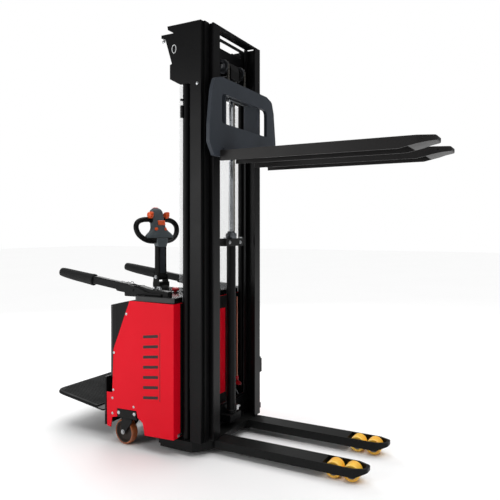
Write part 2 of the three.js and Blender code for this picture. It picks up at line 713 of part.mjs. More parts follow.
// Butterfly head: a domed centre and two closed hand loops.
function tillerHead() {
  const right = [
    [30, HEAD.foot], [64, 1124, 10], [150, 1150, 30], [HEAD.grip, 1200, 40], [HEAD.grip - 4, 1262, 36],
    [104, 1286, 20], [52, 1282, 8], [52, 1322, 22], [24, HEAD.top, 12],
  ];
  const left = right.map(([y, z, r]) => [-y, z, r]).reverse();
  const hole = [
    [58, 1168, 12], [128, 1176, 20], [154, 1206, 20], [152, 1240, 18], [104, 1256, 14], [58, 1246, 12],
  ];
  const bellySeat = rounded([[-24, 1326], [24, 1326], [24, 1360], [-24, 1360]]);
  let head = frontPrism(rounded([...right, ...left]), HEAD.back, HEAD.front);
  for (const [, side] of SIDES) {
    const opening = rounded(hole.map(([y, z, r]) => [y * side, z, r]));
    head = head.subtract(frontPrism(opening, HEAD.back - 5, HEAD.front + 5));
    head = head.subtract(block(HEAD.front - 32, HEAD.front + 5, side * 53, side * 79, 1262, 1345));
  }
  return head
    .subtract(crossPin(THUMB.shaft + RUNNING, HEAD.front - 6, THUMB.z, -60, 60, 20))
    .subtract(block(HEAD.front - 8, HEAD.front + 5, -17, 39, 1228, 1260))
    .subtract(lengthPin(9.5, -34, 1206, HEAD.front - 14, HEAD.front + 5, 20))
    .subtract(frontPrism(bellySeat, HEAD.back + 14, HEAD.front - 14));
}

// Twist-grip shaft with a thumb wheel at each end.
function thumbWheel() {
  const x = HEAD.front - 6;
  let wheels = crossPin(THUMB.shaft, x, THUMB.z, -60, 60, 20);
  for (const [, side] of SIDES) {
    wheels = wheels.add(crossPin(THUMB.radius, x, THUMB.z, side * THUMB.inner, side * THUMB.outer, 24));
  }
  return wheels;
}

function liftRocker() {
  const face = HEAD.front;
  const profile = [[face - 5, 1230], [face + 5, 1230], [face + 3, 1244], [face + 5, 1258], [face - 5, 1258]];
  return sidePrism(profile, -15.5, 37.5);
}

function hornButton() {
  return lengthPin(9, -34, 1206, HEAD.front - 8, HEAD.front + 5, 20);
}

// Safety switch that reverses the truck when it is pressed against the operator.
function bellyButton() {
  return block(HEAD.back + 14.5, HEAD.front - 14.5, -23.5, 23.5, 1332, 1348);
}

add('drive_unit', steered(driveUnit()), steel);
add('drive_wheel', steered(driveWheel()), rubber);
add('tiller_foot', steered(tillerFoot()), framePaint);
add('tiller_shaft', steered(tillerShaft()), blackPlastic);
add('tiller_head', leaned(tillerHead()), tillerPlastic);
add('thumb_wheel', leaned(thumbWheel()), orangePlastic);
add('lift_rocker', leaned(liftRocker()), orangePlastic);
add('horn_button', leaned(hornButton()), orangePlastic);
add('belly_button', leaned(bellyButton()), redPlastic);

// ---- Operator platform ------------------------------------------------------------------------
function tiltedPlatform(solid) {
  return turnedAbout(solid, ACROSS, PLATFORM.tilt, PLATFORM.pivotX, 0, PLATFORM.pivotZ);
}

const PLATE_TOP = 153;
const PLATE_BOTTOM = 145;

function platformPlate() {
  const { half, front, back, pivotX, pivotZ } = PLATFORM;
  const plan = rounded([[front, -half, 8], [front, half, 8], [back, half, 70], [back, -half, 70]]);
  let plate = planPrism(plan, PLATE_BOTTOM, PLATE_TOP)
    .add(block(back + 90, MAT.front, -half + 30, half - 30, PLATE_BOTTOM - 14, PLATE_BOTTOM));
  for (const [, side] of SIDES) {
    const arm = rounded([
      [front - 40, 133], [front - 40, PLATE_TOP - 1], [pivotX + 2, PLATE_TOP - 1, 10],
      [pivotX + 14, pivotZ, 10], [pivotX, 124, 8],
    ]);
    plate = plate.add(sidePrism(arm, side * 250, side * 288));
    plate = plate.subtract(crossPin(7 + RUNNING, pivotX, pivotZ, side * 240, side * 295));
  }
  return plate;
}

function platformMat() {
  const { half, back } = PLATFORM;
  const plan = rounded([
    [MAT.front, -half + 3, 8], [MAT.front, half - 3, 8], [back + 3, half - 3, 68], [back + 3, -half + 3, 68],
  ]);
  return planPrism(plan, PLATE_TOP + GAP, PLATE_TOP + GAP + MAT.thickness);
}

add('platform', tiltedPlatform(platformPlate()), framePaint);
add('platform_mat', tiltedPlatform(platformMat()), rubber);

// ---- Side arms --------------------------------------------------------------------------------
// Hidden cross tie under the lid, with a raised bearer and pivot cheeks for each arm.
function armSupport() {
  const tieTop = COVER.top - COVER.skin - 3;
  let frame = block(-300, -262, -ARM.y, ARM.y, COVER.bottom + 1, tieTop);
  for (const [, side] of SIDES) {
    const y = side * ARM.y;
    const bearer = rounded([
      [-262, COVER.top + 2, 4], [-262, 862, 8], [-400, 874, 12], [-460, 888], [-460, COVER.top + 2],
    ]);
    const riser = block(-300, -262, y - 16, y + 16, COVER.bottom + 1, COVER.top + 10);
    const pin = crossPin(ARM.pin, ARM.pivotX, ARM.pivotZ, y - 20, y + 20, 20);
    frame = union(frame, sidePrism(bearer, y - 20, y + 20), riser, pin);
    const cheek = rounded([
      [-455, 842], [-455, 888], [-500, 888, 14], [-524, 870, 14], [-524, 850, 12], [-500, 842, 6],
    ]);
    for (const [, flank] of SIDES) {
      frame = frame.add(sidePrism(cheek, y + flank * 14, y + flank * 20));
    }
  }
  return frame;
}

function tiltedArm(solid) {
  return turnedAbout(solid, ACROSS, ARM.tilt, ARM.pivotX, 0, ARM.pivotZ);
}

function armTube(side) {
  const y = side * ARM.y;
  const z = ARM.pivotZ;
  const tongue = rounded([
    [-540, z - 20], [-540, z + 20], [-494, z + 18, 12], [-480, z, 10], [-494, z - 18, 12],
  ]);
  const socket = rounded([
    [-532, z - 27, 6], [-532, z + 27, 6], [-622, z + 24, 6], [-622, z - 27, 12],
  ]);
  const tube = lengthPin(ARM.tube, y, z, ARM.endX + 12, -600, 20);
  const bore = crossPin(ARM.pin + RUNNING, ARM.pivotX, z, y - 20, y + 20, 20);
  return tiltedArm(union(
    sidePrism(tongue, y - 13.5, y + 13.5).subtract(bore),
    sidePrism(socket, y - 22, y + 22),
    tube,
  ));
}

// Rubber sleeve closed at the rear end, a little thicker at the front.
function armGrip(side) {
  const y = side * ARM.y;
  const length = ARM.gripStart - ARM.endX;
  const bore = ARM.tube + GAP;
  const profile = [
    [0, 0], [22, 0], [27, 5], [29, 60], [33, length - 26], [33, length - 6], [30, length],
    [bore, length], [bore, 11], [0, 11],
  ];
  const points = profile.map(([r, h]) => new THREE.Vector2(r, h));
  const shape = new THREE.LatheGeometry(points, 20);
  shape.rotateZ(-Math.PI / 2);
  shape.translate(ARM.endX, y, ARM.pivotZ);
  return tiltedArm(solidOf(shape));
}

add('arm_support', armSupport(), framePaint);
for (const [word, side] of SIDES) {
  add(`arm_${word}`, armTube(side), framePaint);
  add(`grip_${word}`, armGrip(side), rubber);
}

export default stacker;
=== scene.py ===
"""Walkie stacker: materials, detailed pieces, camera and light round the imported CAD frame.

Lengths in the helper calls are machine millimetres: X = 0 on the mast's front face with the forks
towards +X, Y = 0 in the middle plane, Z up from the floor. mm() turns them into the row frame.
"""
import math

import bmesh
import bpy
from mathutils import Matrix, Vector


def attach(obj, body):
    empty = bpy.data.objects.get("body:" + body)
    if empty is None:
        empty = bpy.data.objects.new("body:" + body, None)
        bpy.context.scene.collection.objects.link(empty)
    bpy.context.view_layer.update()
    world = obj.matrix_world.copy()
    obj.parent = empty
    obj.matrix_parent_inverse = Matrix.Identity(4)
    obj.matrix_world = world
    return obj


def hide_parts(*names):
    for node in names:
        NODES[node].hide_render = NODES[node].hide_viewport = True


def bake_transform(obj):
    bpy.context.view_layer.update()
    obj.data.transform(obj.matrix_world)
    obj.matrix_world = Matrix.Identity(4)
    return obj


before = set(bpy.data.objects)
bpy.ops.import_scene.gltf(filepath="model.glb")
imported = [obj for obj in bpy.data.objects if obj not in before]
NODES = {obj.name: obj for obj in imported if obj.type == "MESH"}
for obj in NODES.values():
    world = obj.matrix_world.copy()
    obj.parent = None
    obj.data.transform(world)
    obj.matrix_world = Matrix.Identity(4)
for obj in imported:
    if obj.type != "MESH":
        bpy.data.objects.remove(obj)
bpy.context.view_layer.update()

FOOTPRINT_MIDDLE = 14.5
SIDES = (("left", 1), ("right", -1))
X_AXIS, Y_AXIS, Z_AXIS = Vector((1, 0, 0)), Vector((0, 1, 0)), Vector((0, 0, 1))


def mm(x, y, z):
    return Vector(((x - FOOTPRINT_MIDDLE) / 1000, y / 1000, z / 1000))


# ---- Camera -------------------------------------------------------------------------------------
def add_camera():
    data = bpy.data.cameras.new("camera")
    data.sensor_width = 36
    data.lens = 40.56
    data.shift_y = -0.0396
    data.clip_end = 60
    camera = bpy.data.objects.new("camera", data)
    camera.location = (1.5815, -2.804, 1.200)
    camera.rotation_euler = (math.radians(90), 0, math.radians(28.47))
    bpy.context.scene.collection.objects.link(camera)
    bpy.context.scene.camera = camera


add_camera()


# ---- Materials ----------------------------------------------------------------------------------
def srgb(r, g, b):
    def linear(v):
        v /= 255
        return v / 12.92 if v <= 0.04045 else ((v + 0.055) / 1.055) ** 2.4
    return (linear(r), linear(g), linear(b), 1.0)


class Finish:
    """A procedural material under construction, over one Principled shader."""

    def __init__(self, name, rough, metal=0.0, specular=0.5, coat=0.0, coat_rough=0.1):
        self.material = bpy.data.materials.new(name)
        self.material.use_nodes = True
        self.nodes = self.material.node_tree.nodes
        self.links = self.material.node_tree.links
        self.shader = self.nodes["Principled BSDF"]
        self.set("Roughness", rough)
        self.set("Metallic", metal)
        self.set("Specular IOR Level", specular)
        self.set("Coat Weight", coat)
        self.set("Coat Roughness", coat_rough)
        self.where = self.nodes.new("ShaderNodeTexCoord").outputs["Object"]
        self.height = None

    def set(self, socket, value):
        self.shader.inputs[socket].default_value = value

    def stretched(self, scale):
        mapping = self.nodes.new("ShaderNodeMapping")
        mapping.inputs["Scale"].default_value = scale
        self.links.new(self.where, mapping.inputs["Vector"])
        return mapping.outputs["Vector"]

    def noise(self, scale, detail=3.0, rough=0.5, stretch=None):
        node = self.nodes.new("ShaderNodeTexNoise")
        node.inputs["Scale"].default_value = scale
        node.inputs["Detail"].default_value = detail
        node.inputs["Roughness"].default_value = rough
        source = self.stretched(stretch) if stretch else self.where
        self.links.new(source, node.inputs["Vector"])
        return node.outputs["Fac"]

    def ramp(self, source, low, high, start=0.3, end=0.7):
        node = self.nodes.new("ShaderNodeMapRange")
        node.inputs["From Min"].default_value = start
        node.inputs["From Max"].default_value = end
        node.inputs["To Min"].default_value = low
        node.inputs["To Max"].default_value = high
        self.links.new(source, node.inputs["Value"])
        return node.outputs["Result"]

    def mix(self, factor, a, b):
        node = self.nodes.new("ShaderNodeMix")
        node.data_type = "RGBA"
        self.links.new(factor, node.inputs["Factor"])
        for value, socket in ((a, node.inputs["A"]), (b, node.inputs["B"])):
            if isinstance(value, bpy.types.NodeSocket):
                self.links.new(value, socket)
            else:
                socket.default_value = value
        return node.outputs["Result"]

    def colour(self, base, other, scale=4.0, start=0.35, end=0.7, stretch=None):
        spread = self.ramp(self.noise(scale, 4.0, 0.6, stretch), 0.0, 1.0, start, end)
        self.tint = self.mix(spread, base, other)
        self.links.new(self.tint, self.shader.inputs["Base Color"])
        return self

    def dust(self, tone, amount=0.25, scale=14.0):
        """Pale dust that settles on faces that look up."""
        geometry = self.nodes.new("ShaderNodeNewGeometry")
        split = self.nodes.new("ShaderNodeSeparateXYZ")
        self.links.new(geometry.outputs["Normal"], split.inputs["Vector"])
        upward = self.ramp(split.outputs["Z"], 0.0, amount, 0.55, 1.0)
        patch = self.ramp(self.noise(scale, 5.0, 0.7), 0.25, 1.0, 0.35, 0.7)
        product = self.nodes.new("ShaderNodeMath")
        product.operation = "MULTIPLY"
        self.links.new(upward, product.inputs[0])
        self.links.new(patch, product.inputs[1])
        self.tint = self.mix(product.outputs[0], self.tint, tone)
        self.links.new(self.tint, self.shader.inputs["Base Color"])
        return self

    def roughness(self, low, high, scale=9.0, stretch=None):
        varied = self.ramp(self.noise(scale, 4.0, 0.6, stretch), low, high)
        self.links.new(varied, self.shader.inputs["Roughness"])
        return self

    def grain(self, scale, strength, distance=0.0004, detail=2.0, stretch=None):
        bump = self.nodes.new("ShaderNodeBump")
        bump.inputs["Strength"].default_value = strength
        bump.inputs["Distance"].default_value = distance
        self.links.new(self.noise(scale, detail, 0.5, stretch), bump.inputs["Height"])
        if self.height is not None:
            self.links.new(self.height, bump.inputs["Normal"])
        self.height = bump.outputs["Normal"]
        self.links.new(self.height, self.shader.inputs["Normal"])
        return self


def black_coat(name, tone, rough, grain_scale=900.0, specular=0.22):
    r, g, b, _ = tone
    lighter = (r * 1.15 + 0.0006, g * 1.15 + 0.0006, b * 1.15 + 0.0006, 1.0)
    paint = Finish(name, rough, specular=specular)
    paint.colour(tone, lighter, 5.0)
    paint.dust(srgb(120, 118, 114), 0.03)
    paint.roughness(rough - 0.03, rough + 0.04, 7.0)
    paint.grain(grain_scale, 0.05, 0.0002)
    return paint.material


def metal_finish(name, tone, rough, stretch=(1.0, 1.0, 30.0), grain_scale=60.0):
    r, g, b, _ = tone
    darker = (r * 0.72, g * 0.72, b * 0.72, 1.0)
    metal = Finish(name, rough, metal=1.0)
    metal.colour(tone, darker, 12.0, stretch=stretch)
    metal.roughness(rough - 0.05, rough + 0.12, 25.0, stretch)
    metal.grain(grain_scale, 0.12, 0.0002, stretch=stretch)
    return metal.material


def plastic(name, tone, rough, grain_scale=700.0, strength=0.2, specular=0.45, coat=0.0):
    r, g, b, _ = tone
    other = (r * 0.82, g * 0.82, b * 0.82, 1.0)
    body = Finish(name, rough, specular=specular, coat=coat)
    body.colour(tone, other, 6.0)
    body.roughness(max(0.03, rough - 0.05), rough + 0.07, 11.0)
    body.grain(grain_scale, strength, 0.0003)
    return body.material


def red_paint():
    paint = Finish("body_red", 0.34, specular=0.1, coat=0.03, coat_rough=0.1)
    paint.colour(srgb(226, 8, 34), srgb(220, 7, 31), 2.5)
    paint.roughness(0.32, 0.38, 5.0)
    paint.grain(320.0, 0.04, 0.0002)
    return paint.material


def urethane(name, tone, deep, rough):
    tyre = Finish(name, rough, specular=0.5, coat=0.15, coat_rough=0.25)
    tyre.colour(tone, deep, 18.0, 0.35, 0.75)
    tyre.roughness(rough - 0.06, rough + 0.12, 40.0)
    tyre.grain(180.0, 0.12, 0.0005)
    tyre.set("Subsurface Weight", 0.08)
    tyre.set("Subsurface Scale", 0.01)
    return tyre.material


def clear_sheet():
    sheet = Finish("clear_guard", 0.05, specular=0.35)
    sheet.colour((0.93, 0.95, 0.96, 1.0), (0.88, 0.91, 0.93, 1.0), 1.5)
    sheet.grain(6.0, 0.02, 0.001)
    sheet.set("Alpha", 0.14)
    return sheet.material


MATERIALS = {
    "mast_paint": black_coat("mast_paint", srgb(12, 12, 13), 0.36, specular=0.13),
    "frame_paint": black_coat("frame_paint", srgb(15, 16, 16), 0.42, 600.0, 0.14),
    "carriage_paint": black_coat("carriage_paint", srgb(46, 51, 58), 0.5, 420.0, 0.3),
    "fork_paint": black_coat("fork_paint", srgb(28, 27, 27), 0.42, 700.0, 0.22),
    "body_red": red_paint(),
    "black_plastic": plastic("black_plastic", srgb(17, 17, 17), 0.42, 900.0, 0.12, 0.12),
    "gloss_cover": plastic("gloss_cover", srgb(12, 14, 15), 0.1, 90.0, 0.02, 0.5, 0.4),
    "tiller_plastic": plastic("tiller_plastic", srgb(80, 88, 92), 0.45, 800.0, 0.12, 0.3),
    "orange_plastic": plastic("orange_plastic", srgb(240, 92, 34), 0.35, 800.0, 0.15, 0.45),
    "red_plastic": plastic("red_plastic", srgb(196, 20, 34), 0.3, 500.0, 0.1, 0.5),
    "rubber": plastic("rubber", srgb(27, 28, 28), 0.7, 500.0, 0.2, 0.2),
    "battery_case": plastic("battery_case", srgb(44, 48, 51), 0.6, 400.0, 0.4, 0.3),
    "amber_tyre": urethane("amber_tyre", srgb(255, 204, 74), srgb(246, 170, 48), 0.34),
    "caramel_tyre": urethane("caramel_tyre", srgb(176, 98, 52), srgb(140, 72, 36), 0.4),
    "chrome": metal_finish("chrome", srgb(214, 218, 222), 0.1),
    "chain_steel": metal_finish("chain_steel", srgb(128, 126, 120), 0.34, (1.0, 1.0, 1.0), 300.0),
    "steel": metal_finish("steel", srgb(96, 99, 103), 0.42, (1.0, 1.0, 1.0), 200.0),
    "shaft_blue": plastic("shaft_blue", srgb(28, 34, 42), 0.4, 800.0, 0.1, 0.3),
    "tyre_face": plastic("tyre_face", srgb(44, 34, 28), 0.5, 500.0, 0.12, 0.3),
    "zinc": metal_finish("zinc", srgb(196, 198, 200), 0.28, (1.0, 1.0, 1.0), 250.0),
    "copper_pipe": metal_finish("copper_pipe", srgb(196, 132, 112), 0.3),
    "clear_guard": clear_sheet(),
    "mark_black": plastic("mark_black", srgb(30, 10, 14), 0.4, 500.0, 0.08, 0.35),
    "mark_white": plastic("mark_white", srgb(226, 228, 228), 0.45, 500.0, 0.08, 0.35),
}


# ---- Mesh helpers -------------------------------------------------------------------------------
def crisp(obj, width_mm=None, segments=2, angle=32):
    """Smooth shading with sharp edges kept, and a small rounding along them."""
    for polygon in obj.data.polygons:
        polygon.use_smooth = True
    obj.data.set_sharp_from_angle(angle=math.radians(angle))
    if width_mm:
        bevel = obj.modifiers.new("rounding", "BEVEL")
        bevel.width = width_mm / 1000
        bevel.segments = segments
        bevel.limit_method = "ANGLE"
        bevel.angle_limit = math.radians(angle)
        bevel.harden_normals = True
        bevel.use_clamp_overlap = True
    return obj


def piece(name, bm, material, body, bevel=None, segments=2, angle=32, replaces=()):
    """Finishes a bmesh as a piece with the given material that rides on a CAD body."""
    bmesh.ops.remove_doubles(bm, verts=bm.verts, dist=1e-6)
    bmesh.ops.recalc_face_normals(bm, faces=bm.faces)
    mesh = bpy.data.meshes.new(name)
    bm.to_mesh(mesh)
    bm.free()
    mesh.materials.append(MATERIALS[material])
    obj = bpy.data.objects.new(name, mesh)
    bpy.context.scene.collection.objects.link(obj)
    crisp(obj, bevel, segments, angle)
    if body:
        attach(obj, body)
    if replaces:
        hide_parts(*replaces)
    return obj


def basis(axis):
    """Rotation that takes +Z onto axis."""
    return Z_AXIS.rotation_difference(Vector(axis).normalized()).to_matrix().to_4x4()


def add_lathe(bm, profile, origin, axis, sides=48):
    """Spins [radius, distance] points in millimetres about axis through origin; closes on the axis."""
    place = Matrix.Translation(origin) @ basis(axis)
    rings = []
    for radius, along in profile:
        if radius < 1e-6:
            rings.append([bm.verts.new(place @ Vector((0, 0, along / 1000)))])
            continue
        ring = []
        for i in range(sides):
            angle = 2 * math.pi * i / sides
            local = (radius / 1000 * math.cos(angle), radius / 1000 * math.sin(angle), along / 1000)
            ring.append(bm.verts.new(place @ Vector(local)))
        rings.append(ring)
    for a, b in zip(rings, rings[1:]):
        for i in range(sides):
            j = (i + 1) % sides
            corners = [a[i % len(a)], a[j % len(a)], b[j % len(b)], b[i % len(b)]]
            unique = list(dict.fromkeys(corners))
            if len(unique) > 2:
                bm.faces.new(unique)
    return bm


def add_closed_lathe(bm, profile, origin, axis, sides=48):
    return add_lathe(bm, list(profile) + [profile[0]], origin, axis, sides)


def add_prism(bm, points, low, high, place):
    """Extrudes an outline of (u, v) from w = low to high; place(u, v, w) gives the point."""
    bottom = [bm.verts.new(place(u, v, low)) for u, v in points]
    top = [bm.verts.new(place(u, v, high)) for u, v in points]
    bm.faces.new(list(reversed(bottom)))
    bm.faces.new(top)
    count = len(points)
    for i in range(count):
        j = (i + 1) % count
        bm.faces.new((bottom[i], bottom[j], top[j], top[i]))
    return bm


def side_place(u, v, w):
    return mm(u, w, v)


def front_place(u, v, w):
    return mm(w, u, v)


def plan_place(u, v, w):
    return mm(u, v, w)


def add_block(bm, x0, x1, y0, y1, z0, z1):
    return add_prism(bm, [(x0, y0), (x1, y0), (x1, y1), (x0, y1)], z0, z1, plan_place)


def rounded(points, steps=6):
    """Corner points (u, v, radius) become arcs; a point without a radius stays sharp."""
    out = []
    count = len(points)
    for i, point in enumerate(points):
        corner = Vector(point[:2])
        radius = point[2] if len(point) > 2 else 0
        if not radius:
            out.append(tuple(corner))
            continue
        a = (Vector(points[i - 1][:2]) - corner).normalized()
        b = (Vector(points[(i + 1) % count][:2]) - corner).normalized()
        half = math.acos(max(-1.0, min(1.0, a.dot(b)))) / 2
        reach = radius / math.tan(half)
        start, end = corner + a * reach, corner + b * reach
        for k in range(steps + 1):
            t = k / steps
            out.append(tuple(start * (1 - t) ** 2 + corner * 2 * t * (1 - t) + end * t * t))
    return out


def smooth_path(points, per_span=8, closed=False):
    """Catmull-Rom points through the given ones."""
    points = [Vector(p) for p in points]
    count = len(points)
    out = []
    spans = count if closed else count - 1
    for i in range(spans):
        if closed:
            p0, p1, p2, p3 = (points[(i + k) % count] for k in (-1, 0, 1, 2))
        else:
            p0 = points[max(i - 1, 0)]
            p1, p2 = points[i], points[i + 1]
            p3 = points[min(i + 2, count - 1)]
        for k in range(per_span):
            t = k / per_span
            out.append(0.5 * (2 * p1 + (p2 - p0) * t + (2 * p0 - 5 * p1 + 4 * p2 - p3) * t * t
                              + (3 * p1 - 3 * p2 + p3 - p0) * t ** 3))
    if not closed:
        out.append(points[-1])
    return out


def add_tube(bm, path, radius, sides=16, closed=False, flatten=1.0):
    """Sweeps a circle of radius mm (or a radius for each point) along row-frame points."""
    count = len(path)
    radii = radius if isinstance(radius, (list, tuple)) else [radius] * count
    previous = None
    rings = []
    for i, point in enumerate(path):
        ahead = path[(i + 1) % count] if closed or i + 1 < count else path[i]
        behind = path[i - 1] if closed or i > 0 else path[i]
        tangent = (ahead - behind).normalized()
        if previous is None:
            guide = Z_AXIS if abs(tangent.z) < 0.9 else X_AXIS
            across = tangent.cross(guide).normalized()
        else:
            across = (previous - tangent * previous.dot(tangent)).normalized()
        previous = across
        lift = tangent.cross(across)
        ring = []
        for k in range(sides):
            angle = 2 * math.pi * k / sides
            offset = across * math.cos(angle) + lift * math.sin(angle) * flatten
            ring.append(bm.verts.new(point + offset * radii[i] / 1000))
        rings.append(ring)
    spans = count if closed else count - 1
    for i in range(spans):
        a, b = rings[i], rings[(i + 1) % count]
        for k in range(sides):
            j = (k + 1) % sides
            bm.faces.new((a[k], a[j], b[j], b[k]))
    if not closed:
        bm.faces.new(list(reversed(rings[0])))
        bm.faces.new(rings[-1])
    return bm


def add_screw(bm, origin, axis, head=6.0, height=3.5, style="button"):
    """A screw head with a hexagon socket, or a hexagon head, seated on a washer."""
    place = Matrix.Translation(origin) @ basis(axis)
    add_lathe(bm, [(0, 0), (head * 1.5, 0), (head * 1.5, 0.9), (head * 1.35, 1.2), (0, 1.2)], origin, axis,
              20)
    if style == "hex":
        corners = [(head * math.cos(math.pi * k / 3), head * math.sin(math.pi * k / 3)) for k in range(6)]
        add_prism(bm, corners, 1.2, 1.2 + height, lambda u, v, w: place @ (Vector((u, v, w)) / 1000))
        add_lathe(bm, [(head * 0.8, 1.2 + height), (head * 0.7, 1.5 + height), (0, 1.5 + height)], origin,
                  axis, 18)
        return bm
    socket = head * 0.48
    profile = [
        (head, 1.2), (head, 1.2 + height * 0.4), (head * 0.82, 1.2 + height * 0.85),
        (head * 0.55, 1.2 + height),
        (socket, 1.2 + height), (socket, 1.2 + height * 0.35), (0, 1.2 + height * 0.35),
    ]
    return add_lathe(bm, profile, origin, axis, 18)


def finish_node(name, material, bevel=None, segments=2, angle=32):
    """Gives a CAD node its material and rounds its edges for shading."""
    obj = NODES[name]
    obj.data.materials.clear()
    obj.data.materials.append(MATERIALS[material])
    return crisp(obj, bevel, segments, angle)


# ---- CAD nodes that keep their shape ------------------------------------------------------------
KEPT = {
    "base_frame": ("frame_paint", 2.0), "leg": ("frame_paint", 3.5), "outer_rail": ("mast_paint", 3.0),
    "mid_rail": ("mast_paint", 2.6), "inner_rail": ("mast_paint", 2.6),
    "outer_crossbeam": ("mast_paint", 2.0),
    "mid_crossbeam": ("mast_paint", 2.0), "mid_foot_beam": ("mast_paint", 2.0),
    "inner_top_beam": ("mast_paint", 2.0), "inner_foot_beam": ("mast_paint", 2.0),
    "mast_guard": ("clear_guard", 1.2), "side_cylinder": ("mast_paint", 2.0), "side_rod": ("chrome", 1.5),
    "carriage_plate": ("carriage_paint", 3.5), "carriage_frame": ("carriage_paint", 2.5),
    "fork": ("fork_paint", 3.0), "side_panel": ("body_red", 1.5), "rear_cover": ("black_plastic", 3.0),
    "top_cover": ("gloss_cover", 5.0), "battery": ("battery_case", 8.0), "power_unit": ("steel", 3.0),
    "arm_support": ("frame_paint", 1.5), "drive_unit": ("steel", 1.5), "drive_wheel": ("rubber", 3.0),
    "tiller_foot": ("frame_paint", 1.5), "tiller_shaft": ("black_plastic", 4.0),
    "platform": ("frame_paint", 2.0),
    "platform_mat": ("rubber", 2.0), "arm": ("frame_paint", 2.0), "grip": ("rubber", 2.0),
    "estop_button": ("red_plastic", 2.0), "caster_fork": ("frame_paint", 1.2),
    "caster_wheel": ("caramel_tyre", 2.0),
    "load_roller": ("amber_tyre", 2.0), "sheave": ("steel", 0.8), "crosshead": ("chrome", 1.5),
    "free_lift_cylinder": ("mast_paint", 2.0), "lift_chains_front": ("chain_steel", 0.5),
    "lift_chains_rear": ("chain_steel", 0.5), "tiller_head": ("tiller_plastic", 6.0),
    "thumb_wheel": ("orange_plastic", 2.0), "lift_rocker": ("orange_plastic", 1.5),
    "horn_button": ("orange_plastic", 1.0), "belly_button": ("red_plastic", 2.0),
}

for node in NODES:
    match = max((key for key in KEPT if node.startswith(key)), key=len)
    finish_node(node, *KEPT[match])


# ---- Chains and sheaves -------------------------------------------------------------------------
SHEAVE = {"x": -48, "z": 2120, "y": 92, "pitch_radius": 35}
CHAIN_PITCH = 16.0


def chain_route(rear):
    """Points and tangents one pitch apart: up the rear run and over the sheave, or down the front run."""
    x, z, radius = SHEAVE["x"], SHEAVE["z"], SHEAVE["pitch_radius"]
    start = 1160.0
    rise = z - start
    arc = math.pi * radius
    low, high = (0.0, rise + arc) if rear else (rise + arc, rise + arc + 172.0)
    route = []
    for i in range(int(low // CHAIN_PITCH), int(high // CHAIN_PITCH) + 1):
        s = i * CHAIN_PITCH
        if s < rise:
            route.append((i, (x - radius, start + s), (0.0, 1.0)))
        elif s < rise + arc:
            angle = math.pi - (s - rise) / radius
            centre = (x + radius * math.cos(angle), z + radius * math.sin(angle))
            route.append((i, centre, (math.sin(angle), -math.cos(angle))))
        else:
            route.append((i, (x + radius, z - (s - rise - arc)), (0.0, -1.0)))
    return route


def add_link(bm, y, centre, along, inner):
    """One pitch of leaf chain: its plates, and the pin at its start."""
    half, waist, reach = 5.2, 3.6, CHAIN_PITCH / 2
    outline = []
    for end in (1, -1):
        for k in range(7):
            angle = math.radians(-90 + 30 * k)
            outline.append((end * (reach + half * math.cos(angle) * 0.9), end * half * math.sin(angle)))
        outline.append((0.0, end * waist))
    cross = (-along[1], along[0])

    def place(u, v, w):
        return mm(centre[0] + along[0] * u + cross[0] * v, y + w, centre[1] + along[1] * u + cross[1] * v)

    for middle in ((-2.6, 2.6) if inner else (-5.2, 0.0, 5.2)):
        add_prism(bm, outline, middle - 1.05, middle + 1.05, place)
    pin = place(-reach, 0, -6.9)
    add_lathe(bm, [(0, 0), (2.2, 0), (2.4, 0.5), (2.4, 13.3), (2.2, 13.8), (0, 13.8)], pin, Y_AXIS, 10)


def chain_anchor(bm, x, z, upward):
    """Clevis end of a chain: a forked block and its threaded stud."""
    for _, side in SIDES:
        y = side * SHEAVE["y"]
        add_prism(bm,
                  rounded([(x - 7, z - 10, 3), (x + 7, z - 10, 3), (x + 7, z + 10, 3), (x - 7, z + 10, 3)]),
                  y - 9, y + 9, side_place)
        stud = mm(x, y, z)
        add_lathe(bm, [(5, 0), (5, 26), (4.2, 27), (0, 27)], stud, -Z_AXIS * upward, 14)


def add_chains():
    for name, rear, a, b, start, end in (
        ("chain_run_rear", True, "inner_mast", "crosshead", 1180, 2085),
        ("chain_run_front", False, "crosshead", "carriage", 2112, 1960),
    ):
        bm = bmesh.new()
        for _, side in SIDES:
            for i, centre, along in chain_route(rear):
                add_link(bm, side * SHEAVE["y"], centre, along, i % 2 == 0)
        chain = piece(name, bm, "chain_steel", None,
                      replaces=["lift_chains_rear" if rear else "lift_chains_front"])
        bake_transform(chain)
    bm = bmesh.new()
    chain_anchor(bm, -83, 1162, 1)
    piece("chain_anchor_rear", bm, "steel", "inner_mast", 0.8)
    bm = bmesh.new()
    chain_anchor(bm, -13, 1950, 1)
    add_block(bm, -17.5, 2.5, -104, 104, 1928, 1940)
    piece("chain_anchor_front", bm, "steel", "carriage", 0.8)


def add_sheaves():
    for word, side in SIDES:
        centre = mm(SHEAVE["x"], side * SHEAVE["y"], SHEAVE["z"])
        bm = bmesh.new()
        add_closed_lathe(bm, [
            (9, -11), (16, -11.5), (18, -9.5), (27, -9.5), (29, -11), (37, -10.5), (38, -9), (37, -8),
            (30, -7),
            (30, 7), (37, 8), (38, 9), (37, 10.5), (29, 11), (27, 9.5), (18, 9.5), (16, 11.5), (9, 11),
        ], centre, Y_AXIS, 56)
        piece(f"sheave_wheel_{word}", bm, "steel", f"sheave_{word}", replaces=[f"sheave_{word}"])


